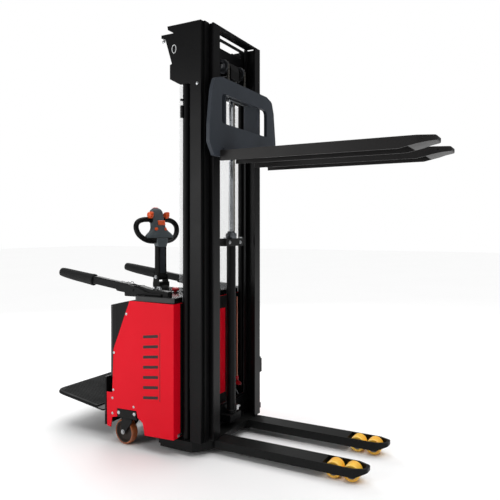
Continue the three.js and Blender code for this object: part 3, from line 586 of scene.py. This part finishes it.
def add_crosshead():
    bm = bmesh.new()
    add_lathe(bm, [(0, 940), (12, 940), (14, 943), (14, 2062), (0, 2062)], mm(-48, 0, 0), Z_AXIS, 40)
    piece("free_lift_rod", bm, "chrome", "crosshead", replaces=["crosshead"])
    bm = bmesh.new()
    head = rounded([(-74, 2060, 8), (-22, 2060, 8), (-20, 2110, 14), (-30, 2152, 14), (-66, 2152, 14),
                    (-76, 2110, 14)])
    add_prism(bm, head, -46, 46, side_place)
    for _, side in SIDES:
        add_prism(bm, rounded([(-70, 2068, 10), (-26, 2068, 10), (-22, 2140, 22), (-74, 2140, 22)]),
                  side * 66, side * 76, side_place)
        add_block(bm, -66, -30, *sorted((side * 44, side * 68)), 2074, 2090)
    add_lathe(bm, [(0, 2040), (24, 2040), (26, 2042), (26, 2060), (0, 2060)], mm(-48, 0, 0), Z_AXIS, 40)
    piece("crosshead_block", bm, "mast_paint", "crosshead", 2.0)
    bm = bmesh.new()
    add_lathe(bm, [(0, -110), (7, -110), (8, -109), (8, 109), (7, 110), (0, 110)], mm(-48, 0, 2120), Y_AXIS,
              28)
    for _, side in SIDES:
        add_lathe(bm, [(8, 0), (13, 0), (13, 2), (8, 2)], mm(-48, side * 105, 2120), Y_AXIS * side, 24)
    piece("sheave_axle", bm, "zinc", "crosshead")


def add_free_cylinder():
    bm = bmesh.new()
    add_lathe(bm, [(0, 150.3), (29, 150.3), (29, 168), (26, 171), (26, 1152), (17.5, 1152)], mm(-48, 0, 0),
              Z_AXIS, 56)
    piece("free_lift_barrel", bm, "mast_paint", "inner_mast", replaces=["free_lift_cylinder"])
    bm = bmesh.new()
    add_closed_lathe(bm, [
        (14.4, 1153), (30, 1153), (31, 1155), (31, 1180), (29, 1183), (22, 1184), (21, 1193), (17, 1194),
        (14.4, 1190),
    ], mm(-48, 0, 0), Z_AXIS, 56)
    for k in range(4):
        angle = math.radians(45 + 90 * k)
        add_screw(bm, mm(-48 + 30.6 * math.cos(angle), 30.6 * math.sin(angle), 1168),
                  (math.cos(angle), math.sin(angle), 0), 3.0, 1.5)
    piece("cylinder_gland", bm, "steel", "inner_mast", 0.6)
    bm = bmesh.new()
    collar = rounded([(-88, -104, 6), (-22, -104, 6), (-22, 104, 6), (-88, 104, 6)])
    add_prism(bm, collar, 1110, 1153, plan_place)
    piece("chain_collar", bm, "mast_paint", "inner_mast", 2.5)
    bm = bmesh.new()
    for _, side in SIDES:
        for x in (-36,):
            add_screw(bm, mm(x, side * 92, 1153), (0, 0, 1), 8, 6, "hex")
        add_screw(bm, mm(-22, side * 60, 1131), (1, 0, 0), 7, 5, "hex")
    piece("collar_screws", bm, "zinc", "inner_mast", 0.4)
    bm = bmesh.new()
    add_block(bm, -22, -4, -12, 12, 172, 200)
    add_lathe(bm, [(8, 0), (8, 8), (6, 9), (6, 22), (0, 22)], mm(-13, 12, 186), Y_AXIS, 18)
    piece("cylinder_port", bm, "zinc", "inner_mast", 1.0)


# ---- Wheels -------------------------------------------------------------------------------------
ROLLER_X = (("rear", 650), ("front", 740))


def add_load_rollers():
    for word, side in SIDES:
        for end, x in ROLLER_X:
            body = f"load_roller_{word}_{end}"
            centre = mm(x, side * 186, 41)
            bm = bmesh.new()
            add_closed_lathe(bm, [
                (27, -33), (36, -34), (39, -32.5), (40.6, -29), (41, -24), (41, 24), (40.6, 29), (39, 32.5),
                (36, 34),
                (27, 33),
            ], centre, Y_AXIS, 72)
            piece(f"roller_tyre_{word}_{end}", bm, "amber_tyre", body, replaces=[body])
            bm = bmesh.new()
            add_closed_lathe(bm, [
                (9.5, -30), (14, -30.5), (15, -29), (20, -29), (21, -31), (27, -31.5), (27, 31.5), (21, 31),
                (20, 29),
                (15, 29), (14, 30.5), (9.5, 30),
            ], centre, Y_AXIS, 48)
            piece(f"roller_hub_{word}_{end}", bm, "steel", body)


CASTER = {"x": -490, "y": 345, "trail": 42, "turn": -6, "radius": 70}


def caster_turned(bm, side):
    centre = mm(CASTER["x"], side * CASTER["y"], 0)
    spin = Matrix.Translation(centre) @ Matrix.Rotation(math.radians(CASTER["turn"]), 4, "Z")
    bmesh.ops.transform(bm, matrix=spin @ Matrix.Translation(-centre), verts=bm.verts)
    return bm


def add_casters():
    x, radius = CASTER["x"], CASTER["radius"]
    wheel_x = x - CASTER["trail"]
    for word, side in SIDES:
        y = side * CASTER["y"]
        centre = mm(wheel_x, y, radius)
        bm = bmesh.new()
        add_closed_lathe(bm, [
            (61, -20.5), (64.5, -21.8), (67, -20.5), (69, -16), (70, -9), (70, 9), (69, 16), (67, 20.5),
            (64.5, 21.8),
            (61, 20.5), (60, 12), (60, -12),
        ], centre, Y_AXIS, 80)
        piece(f"caster_tyre_{word}", caster_turned(bm, side), "caramel_tyre", f"caster_wheel_{word}",
              replaces=[f"caster_wheel_{word}"])
        bm = bmesh.new()
        half = [(6.5, 20), (16, 20), (18, 18), (19, 11), (24, 9), (47, 9), (52, 13), (55, 19), (61.2, 19.8)]
        add_closed_lathe(bm, [(r, -h) for r, h in half] + [(r, h) for r, h in reversed(half)], centre,
                         Y_AXIS, 64)
        piece(f"caster_hub_{word}", caster_turned(bm, side), "tyre_face", f"caster_wheel_{word}")

        bm = bmesh.new()
        cheek = rounded([
            (x - 52, 150), (x - 55, 118, 20), (wheel_x - 15, 66, 16), (wheel_x + 12, 54, 16),
            (wheel_x + 26, 84, 20),
            (x + 26, 132, 12), (x + 28, 150),
        ], 8)
        for flank in (1, -1):
            inner = y + flank * 24
            add_prism(bm, cheek, *sorted((inner, inner + flank * 5)), side_place)
        crown = rounded([(x - 52, y - 29, 8), (x + 28, y - 29, 8), (x + 28, y + 29, 8), (x - 52, y + 29, 8)])
        add_prism(bm, crown, 144, 151, plan_place)
        add_lathe(bm,
            [(0, 150), (27, 150), (29, 152), (29, 154), (26, 156), (31, 156.4), (31, 157.7), (0, 157.7)],
                  mm(x, y, 0), Z_AXIS, 48)
        piece(f"caster_yoke_{word}", caster_turned(bm, side), "frame_paint", f"caster_fork_{word}", 1.4,
              replaces=[f"caster_fork_{word}"])
        bm = bmesh.new()
        for flank in (1, -1):
            add_screw(bm, mm(wheel_x, y + flank * 29, radius), (0, flank, 0), 9, 5, "hex")
        add_lathe(bm, [(0, -29), (6, -29), (6, 29), (0, 29)], centre, Y_AXIS, 20)
        piece(f"caster_axle_{word}", caster_turned(bm, side), "zinc", f"caster_fork_{word}", 0.4)
        bm = bmesh.new()
        for u, z in ((-547.7, 182.8), (-436.9, 188.9)):
            add_screw(bm, mm(u, side * 389, z), (0, side, 0), 6.5, 1.6, "hex")
        piece(f"caster_mount_screws_{word}", bm, "zinc", "chassis", 0.4)


# ---- Body details -------------------------------------------------------------------------------
def add_body_details():
    for word, side in SIDES:
        bm = bmesh.new()
        for u, z in ((-496.5, 736), (-585.7, 513.6), (-589.4, 304.9), (-596, 258), (-596, 172.5),
                     (-444, 229)):
            add_screw(bm, mm(u + 4, side * 390, z), (0, side, 0), 4.6, 2.4)
        piece(f"panel_screws_{word}", bm, "zinc", "chassis")
        bm = bmesh.new()
        for k in range(7):
            middle = 290 + k * 55
            low, high = sorted((side * 389.9, side * 390.25))
            slant = 12
            bar = [(-374, middle - 8), (-273, middle - 8 + slant), (-273, middle + 8 + slant),
                   (-374, middle + 8)]
            add_prism(bm, bar, low, high, side_place)
        add_prism(bm, [(-262, 283), (-259, 283), (-259, 651), (-262, 651)], low, high, side_place)
        piece(f"panel_stripes_{word}", bm, "mark_black", "chassis")
        bm = bmesh.new()
        add_prism(bm,
                  rounded([(side * 322, 96), (side * 356, 96, 4), (side * 356, 114, 4), (side * 322, 114)]),
                  -171, -167, front_place)
        add_screw(bm, mm(-167, side * 347, 105), (1, 0, 0), 4, 2.5)
        piece(f"panel_clip_{word}", bm, "zinc", "chassis", 0.6)
        bm = bmesh.new()
        add_screw(bm, mm(-61.5, side * 332, 1974), (0, side, 0), 5.5, 4, "hex")
        add_screw(bm, mm(-282, side * 326, 2226), (0, side, 0), 7, 5, "hex")
        piece(f"mast_screws_{word}", bm, "zinc", "chassis", 0.5)
        bm = bmesh.new()
        low, high = sorted((side * 312, side * 331))
        add_block(bm, -171, -156, low, high, 1802, 1868)
        add_block(bm, -171, -158, low, high, 1893, 1904)
        piece(f"guard_clamp_{word}", bm, "mast_paint", "chassis", 1.5)
        bm = bmesh.new()
        ring = [mm(-210 + 13 * math.cos(a), side * 331.9, 2176 + 22 * math.sin(a))
                for a in (math.radians(12 * k) for k in range(30))]
        add_tube(bm, ring, 2.0, 8, closed=True)
        piece(f"lift_point_mark_{word}", bm, "mark_white", "chassis")


STOP_BUTTON = (-365, -105, 0)


def add_lid_details():
    bm = bmesh.new()
    add_lathe(bm, [(11.2, 836), (24, 836), (25, 837), (24, 839), (13, 840), (11.2, 839.5)], mm(*STOP_BUTTON),
              Z_AXIS, 40)
    piece("stop_collar", bm, "black_plastic", "chassis", 0.4)
    bm = bmesh.new()
    add_lathe(bm, [
        (0, 818), (10, 818), (10, 847), (19, 847.5), (21.5, 850), (22, 855), (20, 860), (14, 864), (6, 866),
        (0, 866),
    ], mm(*STOP_BUTTON), Z_AXIS, 48)
    piece("stop_mushroom", bm, "red_plastic", "estop_button", replaces=["estop_button"])
    bm = bmesh.new()
    plan = rounded([(-440, -60, 10), (-330, -60, 10), (-330, 60, 10), (-440, 60, 10)])
    add_prism(bm, plan, 836, 841, plan_place)
    piece("gauge_frame", bm, "black_plastic", "chassis", 1.6)
    bm = bmesh.new()
    plan = rounded([(-428, -46, 5), (-342, -46, 5), (-342, 46, 5), (-428, 46, 5)])
    add_prism(bm, plan, 840.6, 842.2, plan_place)
    piece("gauge_window", bm, "gloss_cover", "chassis", 0.8)
    bm = bmesh.new()
    add_closed_lathe(bm, [(26, 812.5), (40, 812.5), (46, 838), (44, 846), (36, 858), (29, 862), (26, 860)],
                     mm(-545, 0, 0), Z_AXIS, 48)
    piece("tiller_gaiter", bm, "rubber", "chassis", 1.0)


# ---- Platform -----------------------------------------------------------------------------------
PLATFORM_PIVOT = (-690, 138)
PLATFORM_TILT = 8.4


def platform_tilted(bm):
    pivot = mm(PLATFORM_PIVOT[0], 0, PLATFORM_PIVOT[1])
    spin = Matrix.Translation(pivot) @ Matrix.Rotation(math.radians(PLATFORM_TILT), 4, "Y")
    bmesh.ops.transform(bm, matrix=spin @ Matrix.Translation(-pivot), verts=bm.verts)
    return bm


def add_platform_details():
    bm = bmesh.new()
    outline = rounded([(-773, -327, 8), (-773, 327, 8), (-1115, 327, 68), (-1115, -327, 68)], 8)
    add_prism(bm, outline, 153.3, 159.5, plan_place)
    piece("mat_base", platform_tilted(bm), "rubber", "platform", 2.0, replaces=["platform_mat"])
    bm = bmesh.new()
    pitch = 15.0
    y = -300.0
    while y <= 300.1:
        inset = 30 if abs(y) > 262 else 14
        rib = [(-785, y - 4), (-1115 + inset + 8, y - 4), (-1115 + inset, y), (-1115 + inset + 8, y + 4),
               (-785, y + 4)]
        bottom = [bm.verts.new(mm(u, v, 159.2)) for u, v in rib]
        top = [bm.verts.new(mm(u, y + (v - y) * 0.5, 162.2)) for u, v in rib]
        bm.faces.new(top)
        for i in range(5):
            bm.faces.new((bottom[i], bottom[(i + 1) % 5], top[(i + 1) % 5], top[i]))
        y += pitch
    piece("mat_ribs", platform_tilted(bm), "rubber", "platform")
    bm = bmesh.new()
    for _, side in SIDES:
        add_lathe(bm, [(0, 0), (11, 0), (12, 1), (12, 3), (10, 4.5), (0, 4.5)], mm(-690, side * 322, 138),
                  Y_AXIS * side, 28)
    piece("platform_pin_caps", bm, "zinc", "chassis")


# ---- Side arms ----------------------------------------------------------------------------------
ARM_PIVOT = (-500, 864)
ARM_TILT = 7.8
ARM_Y = 297


def arm_tilted(bm):
    pivot = mm(ARM_PIVOT[0], 0, ARM_PIVOT[1])
    spin = Matrix.Translation(pivot) @ Matrix.Rotation(math.radians(ARM_TILT), 4, "Y")
    bmesh.ops.transform(bm, matrix=spin @ Matrix.Translation(-pivot), verts=bm.verts)
    return bm


def add_grip(word, side):
    """Moulded sleeve: a flatter top and a belly that swells towards the hand stop."""
    stations = [
        (-1091.5, 10, 10), (-1091, 20, 20), (-1086, 25, 26), (-1070, 27, 28), (-1030, 28, 31),
        (-980, 28.5, 34),
        (-920, 29, 36), (-870, 29.5, 36.5), (-845, 30, 36), (-836, 30, 35.5), (-833, 31.5, 37.5),
        (-820, 31.5, 37.5),
        (-816, 30, 35), (-815, 25, 26), (-815, 21.3, 21.3),
    ]
    sides = 40
    bm = bmesh.new()
    rings = []
    for x, up, down in stations:
        ring = []
        for k in range(sides):
            angle = 2 * math.pi * k / sides
            across = (up + 1.5 if up > 22 else up) * math.cos(angle)
            rise = math.sin(angle) * (up if math.sin(angle) > 0 else down)
            if down > 30 and math.sin(angle) < 0 and -1060 < x < -850:
                rise += 1.2 * (0.5 + 0.5 * math.cos(x * 2 * math.pi / 42))
            ring.append(bm.verts.new(mm(x, side * ARM_Y + across, ARM_PIVOT[1] + rise)))
        rings.append(ring)
    bm.faces.new(list(reversed(rings[0])))
    for a, b in zip(rings, rings[1:]):
        for k in range(sides):
            j = (k + 1) % sides
            bm.faces.new((a[k], a[j], b[j], b[k]))
    obj = piece(f"arm_sleeve_{word}", arm_tilted(bm), "rubber", f"arm_{word}", angle=50,
                replaces=[f"grip_{word}"])
    return obj


def add_arms():
    z = ARM_PIVOT[1]
    for word, side in SIDES:
        y = side * ARM_Y
        add_grip(word, side)
        bm = bmesh.new()
        section = rounded([(y - 19, z - 23, 6), (y + 19, z - 23, 6), (y + 19, z + 23, 6),
                           (y - 19, z + 23, 6)], 5)
        add_prism(bm, section, -840, -604, front_place)
        socket = rounded([(-526, z - 27, 8), (-526, z + 25, 8), (-630, z + 25, 8), (-636, z - 12, 8),
                          (-622, z - 29, 12)])
        add_prism(bm, socket, y - 23, y + 23, side_place)
        tongue = rounded([(-540, z - 20), (-540, z + 20), (-496, z + 18, 12), (-482, z, 10),
                          (-496, z - 18, 12)])
        add_prism(bm, tongue, y - 13.5, y + 13.5, side_place)
        piece(f"arm_beam_{word}", arm_tilted(bm), "frame_paint", f"arm_{word}", 2.0, replaces=[f"arm_{word}"])
        bm = bmesh.new()
        wire = [mm(u, y + v, z + w) for u, v, w in (
            (-566, -6, 26), (-556, -4, 33), (-548, 0, 27), (-541, 3, 36), (-534, 6, 37), (-528, 7, 30))]
        add_tube(bm, smooth_path(wire, 5), 1.8, 8)
        piece(f"lock_wire_{word}", arm_tilted(bm), "steel", f"arm_{word}")
        bm = bmesh.new()
        cheek = rounded([
            (-560, 826, 8), (-560, 882, 12), (-540, 895, 12), (-464, 876, 20), (-396, 853, 8),
            (-302, 848, 4), (-302, 840),
            (-466, 840), (-478, 826, 6),
        ])
        for flank in (1, -1):
            add_prism(bm, cheek, *sorted((y + flank * 24.5, y + flank * 30)), side_place)
        piece(f"arm_bracket_{word}", bm, "frame_paint", "chassis", 1.2)
        bm = bmesh.new()
        for u, w in ((-372, 874), (-330, 869)):
            add_screw(bm, mm(u, y, w), (0.08, 0, 1), 6, 7, "hex")
        spring = [mm(-352 + 26 * k / 40, y + 7 * math.cos(k * 0.95),
                     878 + 7 * math.sin(k * 0.95)) for k in range(41)]
        add_tube(bm, spring, 1.6, 6)
        piece(f"bearer_screws_{word}", bm, "zinc", "chassis")
        bm = bmesh.new()
        add_screw(bm, mm(-500, y - 30, z), (0, -1, 0), 8, 3, "hex")
        add_screw(bm, mm(-500, y + 30, z), (0, 1, 0), 8, 3, "hex")
        piece(f"arm_pivot_nuts_{word}", bm, "frame_paint", "chassis", 0.4)


# ---- Tiller -------------------------------------------------------------------------------------
STEER_AXIS = (-545, 0)
STEER_REST = -12
HEAD_LEAN = -12
HEAD_PIVOT = (-556, 0, 1125)
HEAD_MIDDLE = -562


def steered(bm):
    centre = mm(STEER_AXIS[0], STEER_AXIS[1], 0)
    spin = Matrix.Translation(centre) @ Matrix.Rotation(math.radians(STEER_REST), 4, "Z")
    bmesh.ops.transform(bm, matrix=spin @ Matrix.Translation(-centre), verts=bm.verts)
    return bm


def leaned(bm):
    """Tilts the tiller's head back towards the operator, then steers it."""
    centre = mm(*HEAD_PIVOT)
    spin = Matrix.Translation(centre) @ Matrix.Rotation(math.radians(HEAD_LEAN), 4, "Y")
    bmesh.ops.transform(bm, matrix=spin @ Matrix.Translation(-centre), verts=bm.verts)
    return steered(bm)


def superellipse(half_y, back, front, power, sides):
    ring = []
    for k in range(sides):
        angle = 2 * math.pi * k / sides
        c, s = math.cos(angle), math.sin(angle)
        u = math.copysign(abs(c) ** (2 / power), c)
        v = math.copysign(abs(s) ** (2 / power), s)
        ring.append((v * (front if v > 0 else back), u * half_y))
    return ring


def loft(bm, stations, sides=48, power=3.2):
    """Closed body through level sections: (z, half width, reach back, reach front)."""
    rings = []
    for z, half_y, back, front in stations:
        ring = superellipse(half_y, back, front, power, sides)
        rings.append([bm.verts.new(mm(HEAD_MIDDLE + x, y, z)) for x, y in ring])
    bm.faces.new(list(reversed(rings[0])))
    bm.faces.new(rings[-1])
    for a, b in zip(rings, rings[1:]):
        for k in range(sides):
            j = (k + 1) % sides
            bm.faces.new((a[k], a[j], b[j], b[k]))
    return bm


def add_tiller_head():
    bm = bmesh.new()
    loft(bm, [
        (1147, 96, 21, 21), (1149, 104, 24, 24), (1156, 108, 26, 26), (1166, 106, 26.5, 26.5),
        (1180, 92, 26.5, 26.5),
        (1194, 72, 26, 26.5), (1208, 58, 25.5, 26), (1222, 52, 25, 25.5), (1245, 49.5, 25, 25),
        (1262, 49, 25.5, 25),
        (1272, 47, 26, 25.5), (1300, 46.5, 26, 25.5), (1318, 44, 25, 24.5), (1330, 38, 22, 21.5),
        (1337, 30, 17, 17),
        (1340, 26, 14, 14),
    ])
    piece("tiller_shell", leaned(bm), "tiller_plastic", "tiller", angle=60, replaces=["tiller_head"])
    bm = bmesh.new()
    loft(bm, [
        (1117, 32, 20, 20), (1119, 38, 23, 23), (1128, 54, 24, 24), (1134, 78, 25, 25),
        (1140, 100, 25.5, 25.5),
        (1148, 110, 26, 26), (1150, 109, 25, 25),
    ])
    piece("tiller_underside", leaned(bm), "black_plastic", "tiller", angle=60)
    bm = bmesh.new()
    for _, side in SIDES:
        x = HEAD_MIDDLE
        path = smooth_path([
            mm(x - 4, side * 40, 1272), mm(x - 5, side * 62, 1272), mm(x - 7, side * 104, 1270),
            mm(x - 9, side * 140, 1258),
            mm(x - 9, side * 160, 1234), mm(x - 9, side * 161, 1204), mm(x - 8, side * 146, 1174),
            mm(x - 5, side * 116, 1150), mm(x - 3, side * 84, 1138), mm(x - 2, side * 50, 1134),
        ], 6)
        add_tube(bm, path, 16.0, 22, flatten=1.0)
    piece("tiller_loops", leaned(bm), "black_plastic", "tiller", angle=60)
    bm = bmesh.new()
    for _, side in SIDES:
        add_lathe(bm, [(0, 0), (17.5, 0), (19, 1.5), (19, 7), (17.5, 9), (0, 9)],
                  mm(HEAD_MIDDLE + 2, side * 47, 1268), Y_AXIS * side, 32)
    piece("loop_collars", leaned(bm), "black_plastic", "tiller")
    bm = bmesh.new()
    front = -536.5
    for y0, y1 in ((-46, -30), (30, 46)):
        add_prism(bm, rounded([(y0, 1196, 4), (y1, 1196, 4), (y1, 1214, 4), (y0, 1214, 4)]), front - 4,
                  front + 2.0,
                  front_place)
    piece("function_keys", leaned(bm), "orange_plastic", "tiller", 1.2)


def add_tiller_controls():
    x, z = -542, 1294
    bm = bmesh.new()
    for _, side in SIDES:
        profile = [(0, 52), (17, 52), (20, 55), (20.5, 60), (20.5, 70), (19, 75), (14, 78), (0, 79)]
        add_lathe(bm, profile, mm(x, 0, z), Y_AXIS * side, 104)
    centre = mm(x, 0, z)
    for vert in bm.verts:
        radial = Vector((vert.co.x - centre.x, 0, vert.co.z - centre.z))
        if radial.length > 0.0195:
            angle = math.atan2(radial.z, radial.x)
            vert.co -= radial.normalized() * (0.0011 if math.cos(angle * 26) > 0.2 else 0.0)
    for _, side in SIDES:
        lever = rounded([(x - 6, z + 6), (x + 10, z - 4), (x + 27, z + 6, 5), (x + 22, z + 17, 6),
                         (x + 4, z + 19)])
        add_prism(bm, lever, *sorted((side * 56, side * 72)), side_place)
    piece("thumb_rollers", leaned(bm), "orange_plastic", "thumb_wheel", 0.8, replaces=["thumb_wheel"])
    bm = bmesh.new()
    front = -536
    profile = [(front - 5, 1230), (front + 3, 1229), (front + 6.5, 1234), (front + 4.5, 1244),
               (front + 7, 1254),
               (front + 3.5, 1259), (front - 5, 1258)]
    add_prism(bm, profile, -15.5, 37.5, side_place)
    piece("rocker_cap", leaned(bm), "orange_plastic", "lift_rocker", 1.4, replaces=["lift_rocker"])
    bm = bmesh.new()
    add_lathe(bm, [(0, -14), (9, -14), (9, 3), (8, 4.5), (5, 5.4), (0, 5.6)], mm(-536, -34, 1206), X_AXIS, 32)
    piece("horn_cap", leaned(bm), "orange_plastic", "horn_button", replaces=["horn_button"])
    bm = bmesh.new()
    loft(bm, [(1333, 23.5, 12, 12), (1340, 23.5, 12, 12), (1345, 21, 10.5, 10.5), (1347.6, 15, 7, 7)], 40,
         2.6)
    piece("belly_cap", leaned(bm), "red_plastic", "belly_button", angle=50, replaces=["belly_button"])
    bm = bmesh.new()
    for _, side in SIDES:
        add_screw(bm, mm(-556, side * 40, 913), (0, side, 0), 8, 5, "hex")
    piece("tiller_pivot_screws", steered(bm), "zinc", "drive_head", 0.4)
    bm = bmesh.new()
    add_prism(bm, rounded([(-20, 936, 6), (20, 936, 6), (19, 1100, 8), (-19, 1100, 8)]), -539.5, -537.6,
              front_place)
    piece("shaft_cover", steered(bm), "shaft_blue", "tiller", 0.6)
    bm = bmesh.new()
    neck = [(-30, 1096, 6), (30, 1096, 6), (44, 1134, 8), (44, 1150), (-44, 1150), (-44, 1134, 8)]
    add_prism(bm, rounded(neck), -577.5, -534.5, front_place)
    piece("tiller_neck", steered(bm), "tiller_plastic", "tiller", 4.0, 3)


# ---- Carriage, fork and mast details ------------------------------------------------------------
def add_carriage_details():
    bm = bmesh.new()
    for _, side in SIDES:
        add_screw(bm, mm(50, side * 247, 1635), (1, 0, 0), 6, 3.2)
    piece("plate_screws", bm, "carriage_paint", "carriage")
    for word, side in SIDES:
        bm = bmesh.new()
        for y in (side * 110.5, side * 279.5):
            path = [mm(50.5, y, z) for z in range(1567, 1620, 3)]
            add_tube(bm, path, [3.0 + 0.5 * math.sin(k * 2.1) for k in range(len(path))], 10)
        path = [mm(50.5, side * y, 1620) for y in range(112, 279, 4)]
        add_tube(bm, path, [3.0 + 0.5 * math.sin(k * 1.9) for k in range(len(path))], 10)
        piece(f"fork_weld_{word}", bm, "fork_paint", "carriage")
        bm = bmesh.new()
        for z in (1662, 1918):
            rim = [(11, 0), (25, 0), (29, 3), (29, 36), (25, 39), (11, 39)]
            add_closed_lathe(bm, rim, mm(-42.5, side * 204, z), Y_AXIS * side, 36)
        piece(f"guide_rollers_{word}", bm, "steel", "carriage")


PIPE_LINE = (-130, 211)
# X span of the black sheets that paint the shade on the red panel's front fold.
SHADE_SHEET_X = (-170.8, -168.5)


def add_mast_details():
    """Black sheets on the body front as painted shade over the red panel's front fold by the mast; oil pipe
    and union, bent rod, and the blocks on the far rail.
    """
    # Painted shade: these black sheets stand in for the shadow that falls on the red panel's front fold next
    # to the mast.
    bm = bmesh.new()
    for low, high in ((96, 220), (731, 806)):
        add_block(bm, *SHADE_SHEET_X, -330, 330, low, high)
    for _, side in SIDES:
        y0, y1 = sorted((side * 138, side * 330))
        add_block(bm, *SHADE_SHEET_X, y0, y1, 220, 731)
    piece("body_front_shade", bm, "frame_paint", "chassis")
    bm = bmesh.new()
    path = smooth_path([mm(*PIPE_LINE, 790), mm(*PIPE_LINE, 640), mm(*PIPE_LINE, 470), mm(*PIPE_LINE, 300)],
                       6)
    add_tube(bm, path, 5.0, 12)
    piece("oil_pipe", bm, "copper_pipe", "chassis")
    bm = bmesh.new()
    add_lathe(bm, [(0, 0), (10, 0), (10, 16), (8, 18), (8, 26), (0, 26)], mm(*PIPE_LINE, 302), -Z_AXIS, 20)
    add_lathe(bm, [(0, 0), (12, 0), (13, 2), (13, 24), (9, 28), (9, 44), (0, 44)],
              mm(PIPE_LINE[0], 214, 262), (0, 1, -0.45), 20)
    piece("pipe_union", bm, "red_plastic", "chassis", 0.8)
    bm = bmesh.new()
    bends = [(169, 253), (229, 186), (252, 152), (242, 144), (190, 148), (180, 132)]
    add_tube(bm, [mm(PIPE_LINE[0], y, z) for y, z in bends], 2.4, 10)
    piece("pump_lever", bm, "zinc", "chassis")
    bm = bmesh.new()
    add_block(bm, -62, -40, 333, 371, 306, 392)
    add_block(bm, -58, -44, 345, 365, 392, 402)
    piece("height_switch", bm, "black_plastic", "chassis", 2.0)
    bm = bmesh.new()
    add_block(bm, -60, -42, 333, 362, 80, 112)
    piece("rail_stop", bm, "steel", "chassis", 1.5)


for build in (
    add_chains, add_sheaves, add_crosshead, add_free_cylinder, add_load_rollers, add_casters,
    add_body_details,
    add_lid_details, add_platform_details, add_arms, add_tiller_head, add_tiller_controls,
    add_carriage_details,
    add_mast_details,
):
    build()


# ---- Floor and light ----------------------------------------------------------------------------
FLOOR_REACH = 30.0
FLOOR_Z = -0.001
SURROUND_LIGHT = 0.2
SUN_POWER = 2.7
SUN_SPREAD = 70


def add_studio():
    bm = bmesh.new()
    corners = ((-1, -1), (1, -1), (1, 1), (-1, 1))
    bm.faces.new([bm.verts.new((x * FLOOR_REACH, y * FLOOR_REACH, FLOOR_Z)) for x, y in corners])
    mesh = bpy.data.meshes.new("floor")
    bm.to_mesh(mesh)
    bm.free()
    pale = Finish("floor", 0.9, specular=0.1)
    pale.colour((0.95, 0.95, 0.95, 1), (0.94, 0.94, 0.94, 1), 0.6)
    mesh.materials.append(pale.material)
    floor = bpy.data.objects.new("floor", mesh)
    bpy.context.scene.collection.objects.link(floor)
    world = bpy.data.worlds.new("studio")
    world.use_nodes = True
    tree = world.node_tree
    surround = tree.nodes["Background"]
    surround.inputs["Color"].default_value = (1, 1, 1, 1)
    surround.inputs["Strength"].default_value = SURROUND_LIGHT
    backdrop = tree.nodes.new("ShaderNodeBackground")
    backdrop.inputs["Color"].default_value = (1, 1, 1, 1)
    backdrop.inputs["Strength"].default_value = 1.0
    path = tree.nodes.new("ShaderNodeLightPath")
    either = tree.nodes.new("ShaderNodeMixShader")
    tree.links.new(path.outputs["Is Camera Ray"], either.inputs[0])
    tree.links.new(surround.outputs[0], either.inputs[1])
    tree.links.new(backdrop.outputs[0], either.inputs[2])
    tree.links.new(either.outputs[0], tree.nodes["World Output"].inputs["Surface"])
    bpy.context.scene.world = world
    sky = bpy.data.lights.new("overhead", "SUN")
    sky.energy = SUN_POWER
    sky.angle = math.radians(SUN_SPREAD)
    lamp = bpy.data.objects.new("overhead", sky)
    lamp.rotation_euler = (math.radians(-8), math.radians(10), 0)
    bpy.context.scene.collection.objects.link(lamp)
    for name, place, aim, size, power in (
        ("left_box", (-2.4, -4.2, 1.7), (-0.3, 0, 0.8), 2.2, 66),
        ("front_box", (4.6, -1.6, 2.6), (0, 0, 1.2), 1.6, 12),
        ("back_box", (-3.2, 3.2, 3.0), (-0.2, 0, 1.2), 2.6, 80),
    ):
        light = bpy.data.lights.new(name, "AREA")
        light.size = size
        light.energy = power
        lamp = bpy.data.objects.new(name, light)
        lamp.location = place
        direction = Vector(aim) - Vector(place)
        lamp.rotation_euler = direction.to_track_quat("-Z", "Y").to_euler()
        bpy.context.scene.collection.objects.link(lamp)


add_studio()

bpy.context.scene.view_settings.view_transform = "Standard"
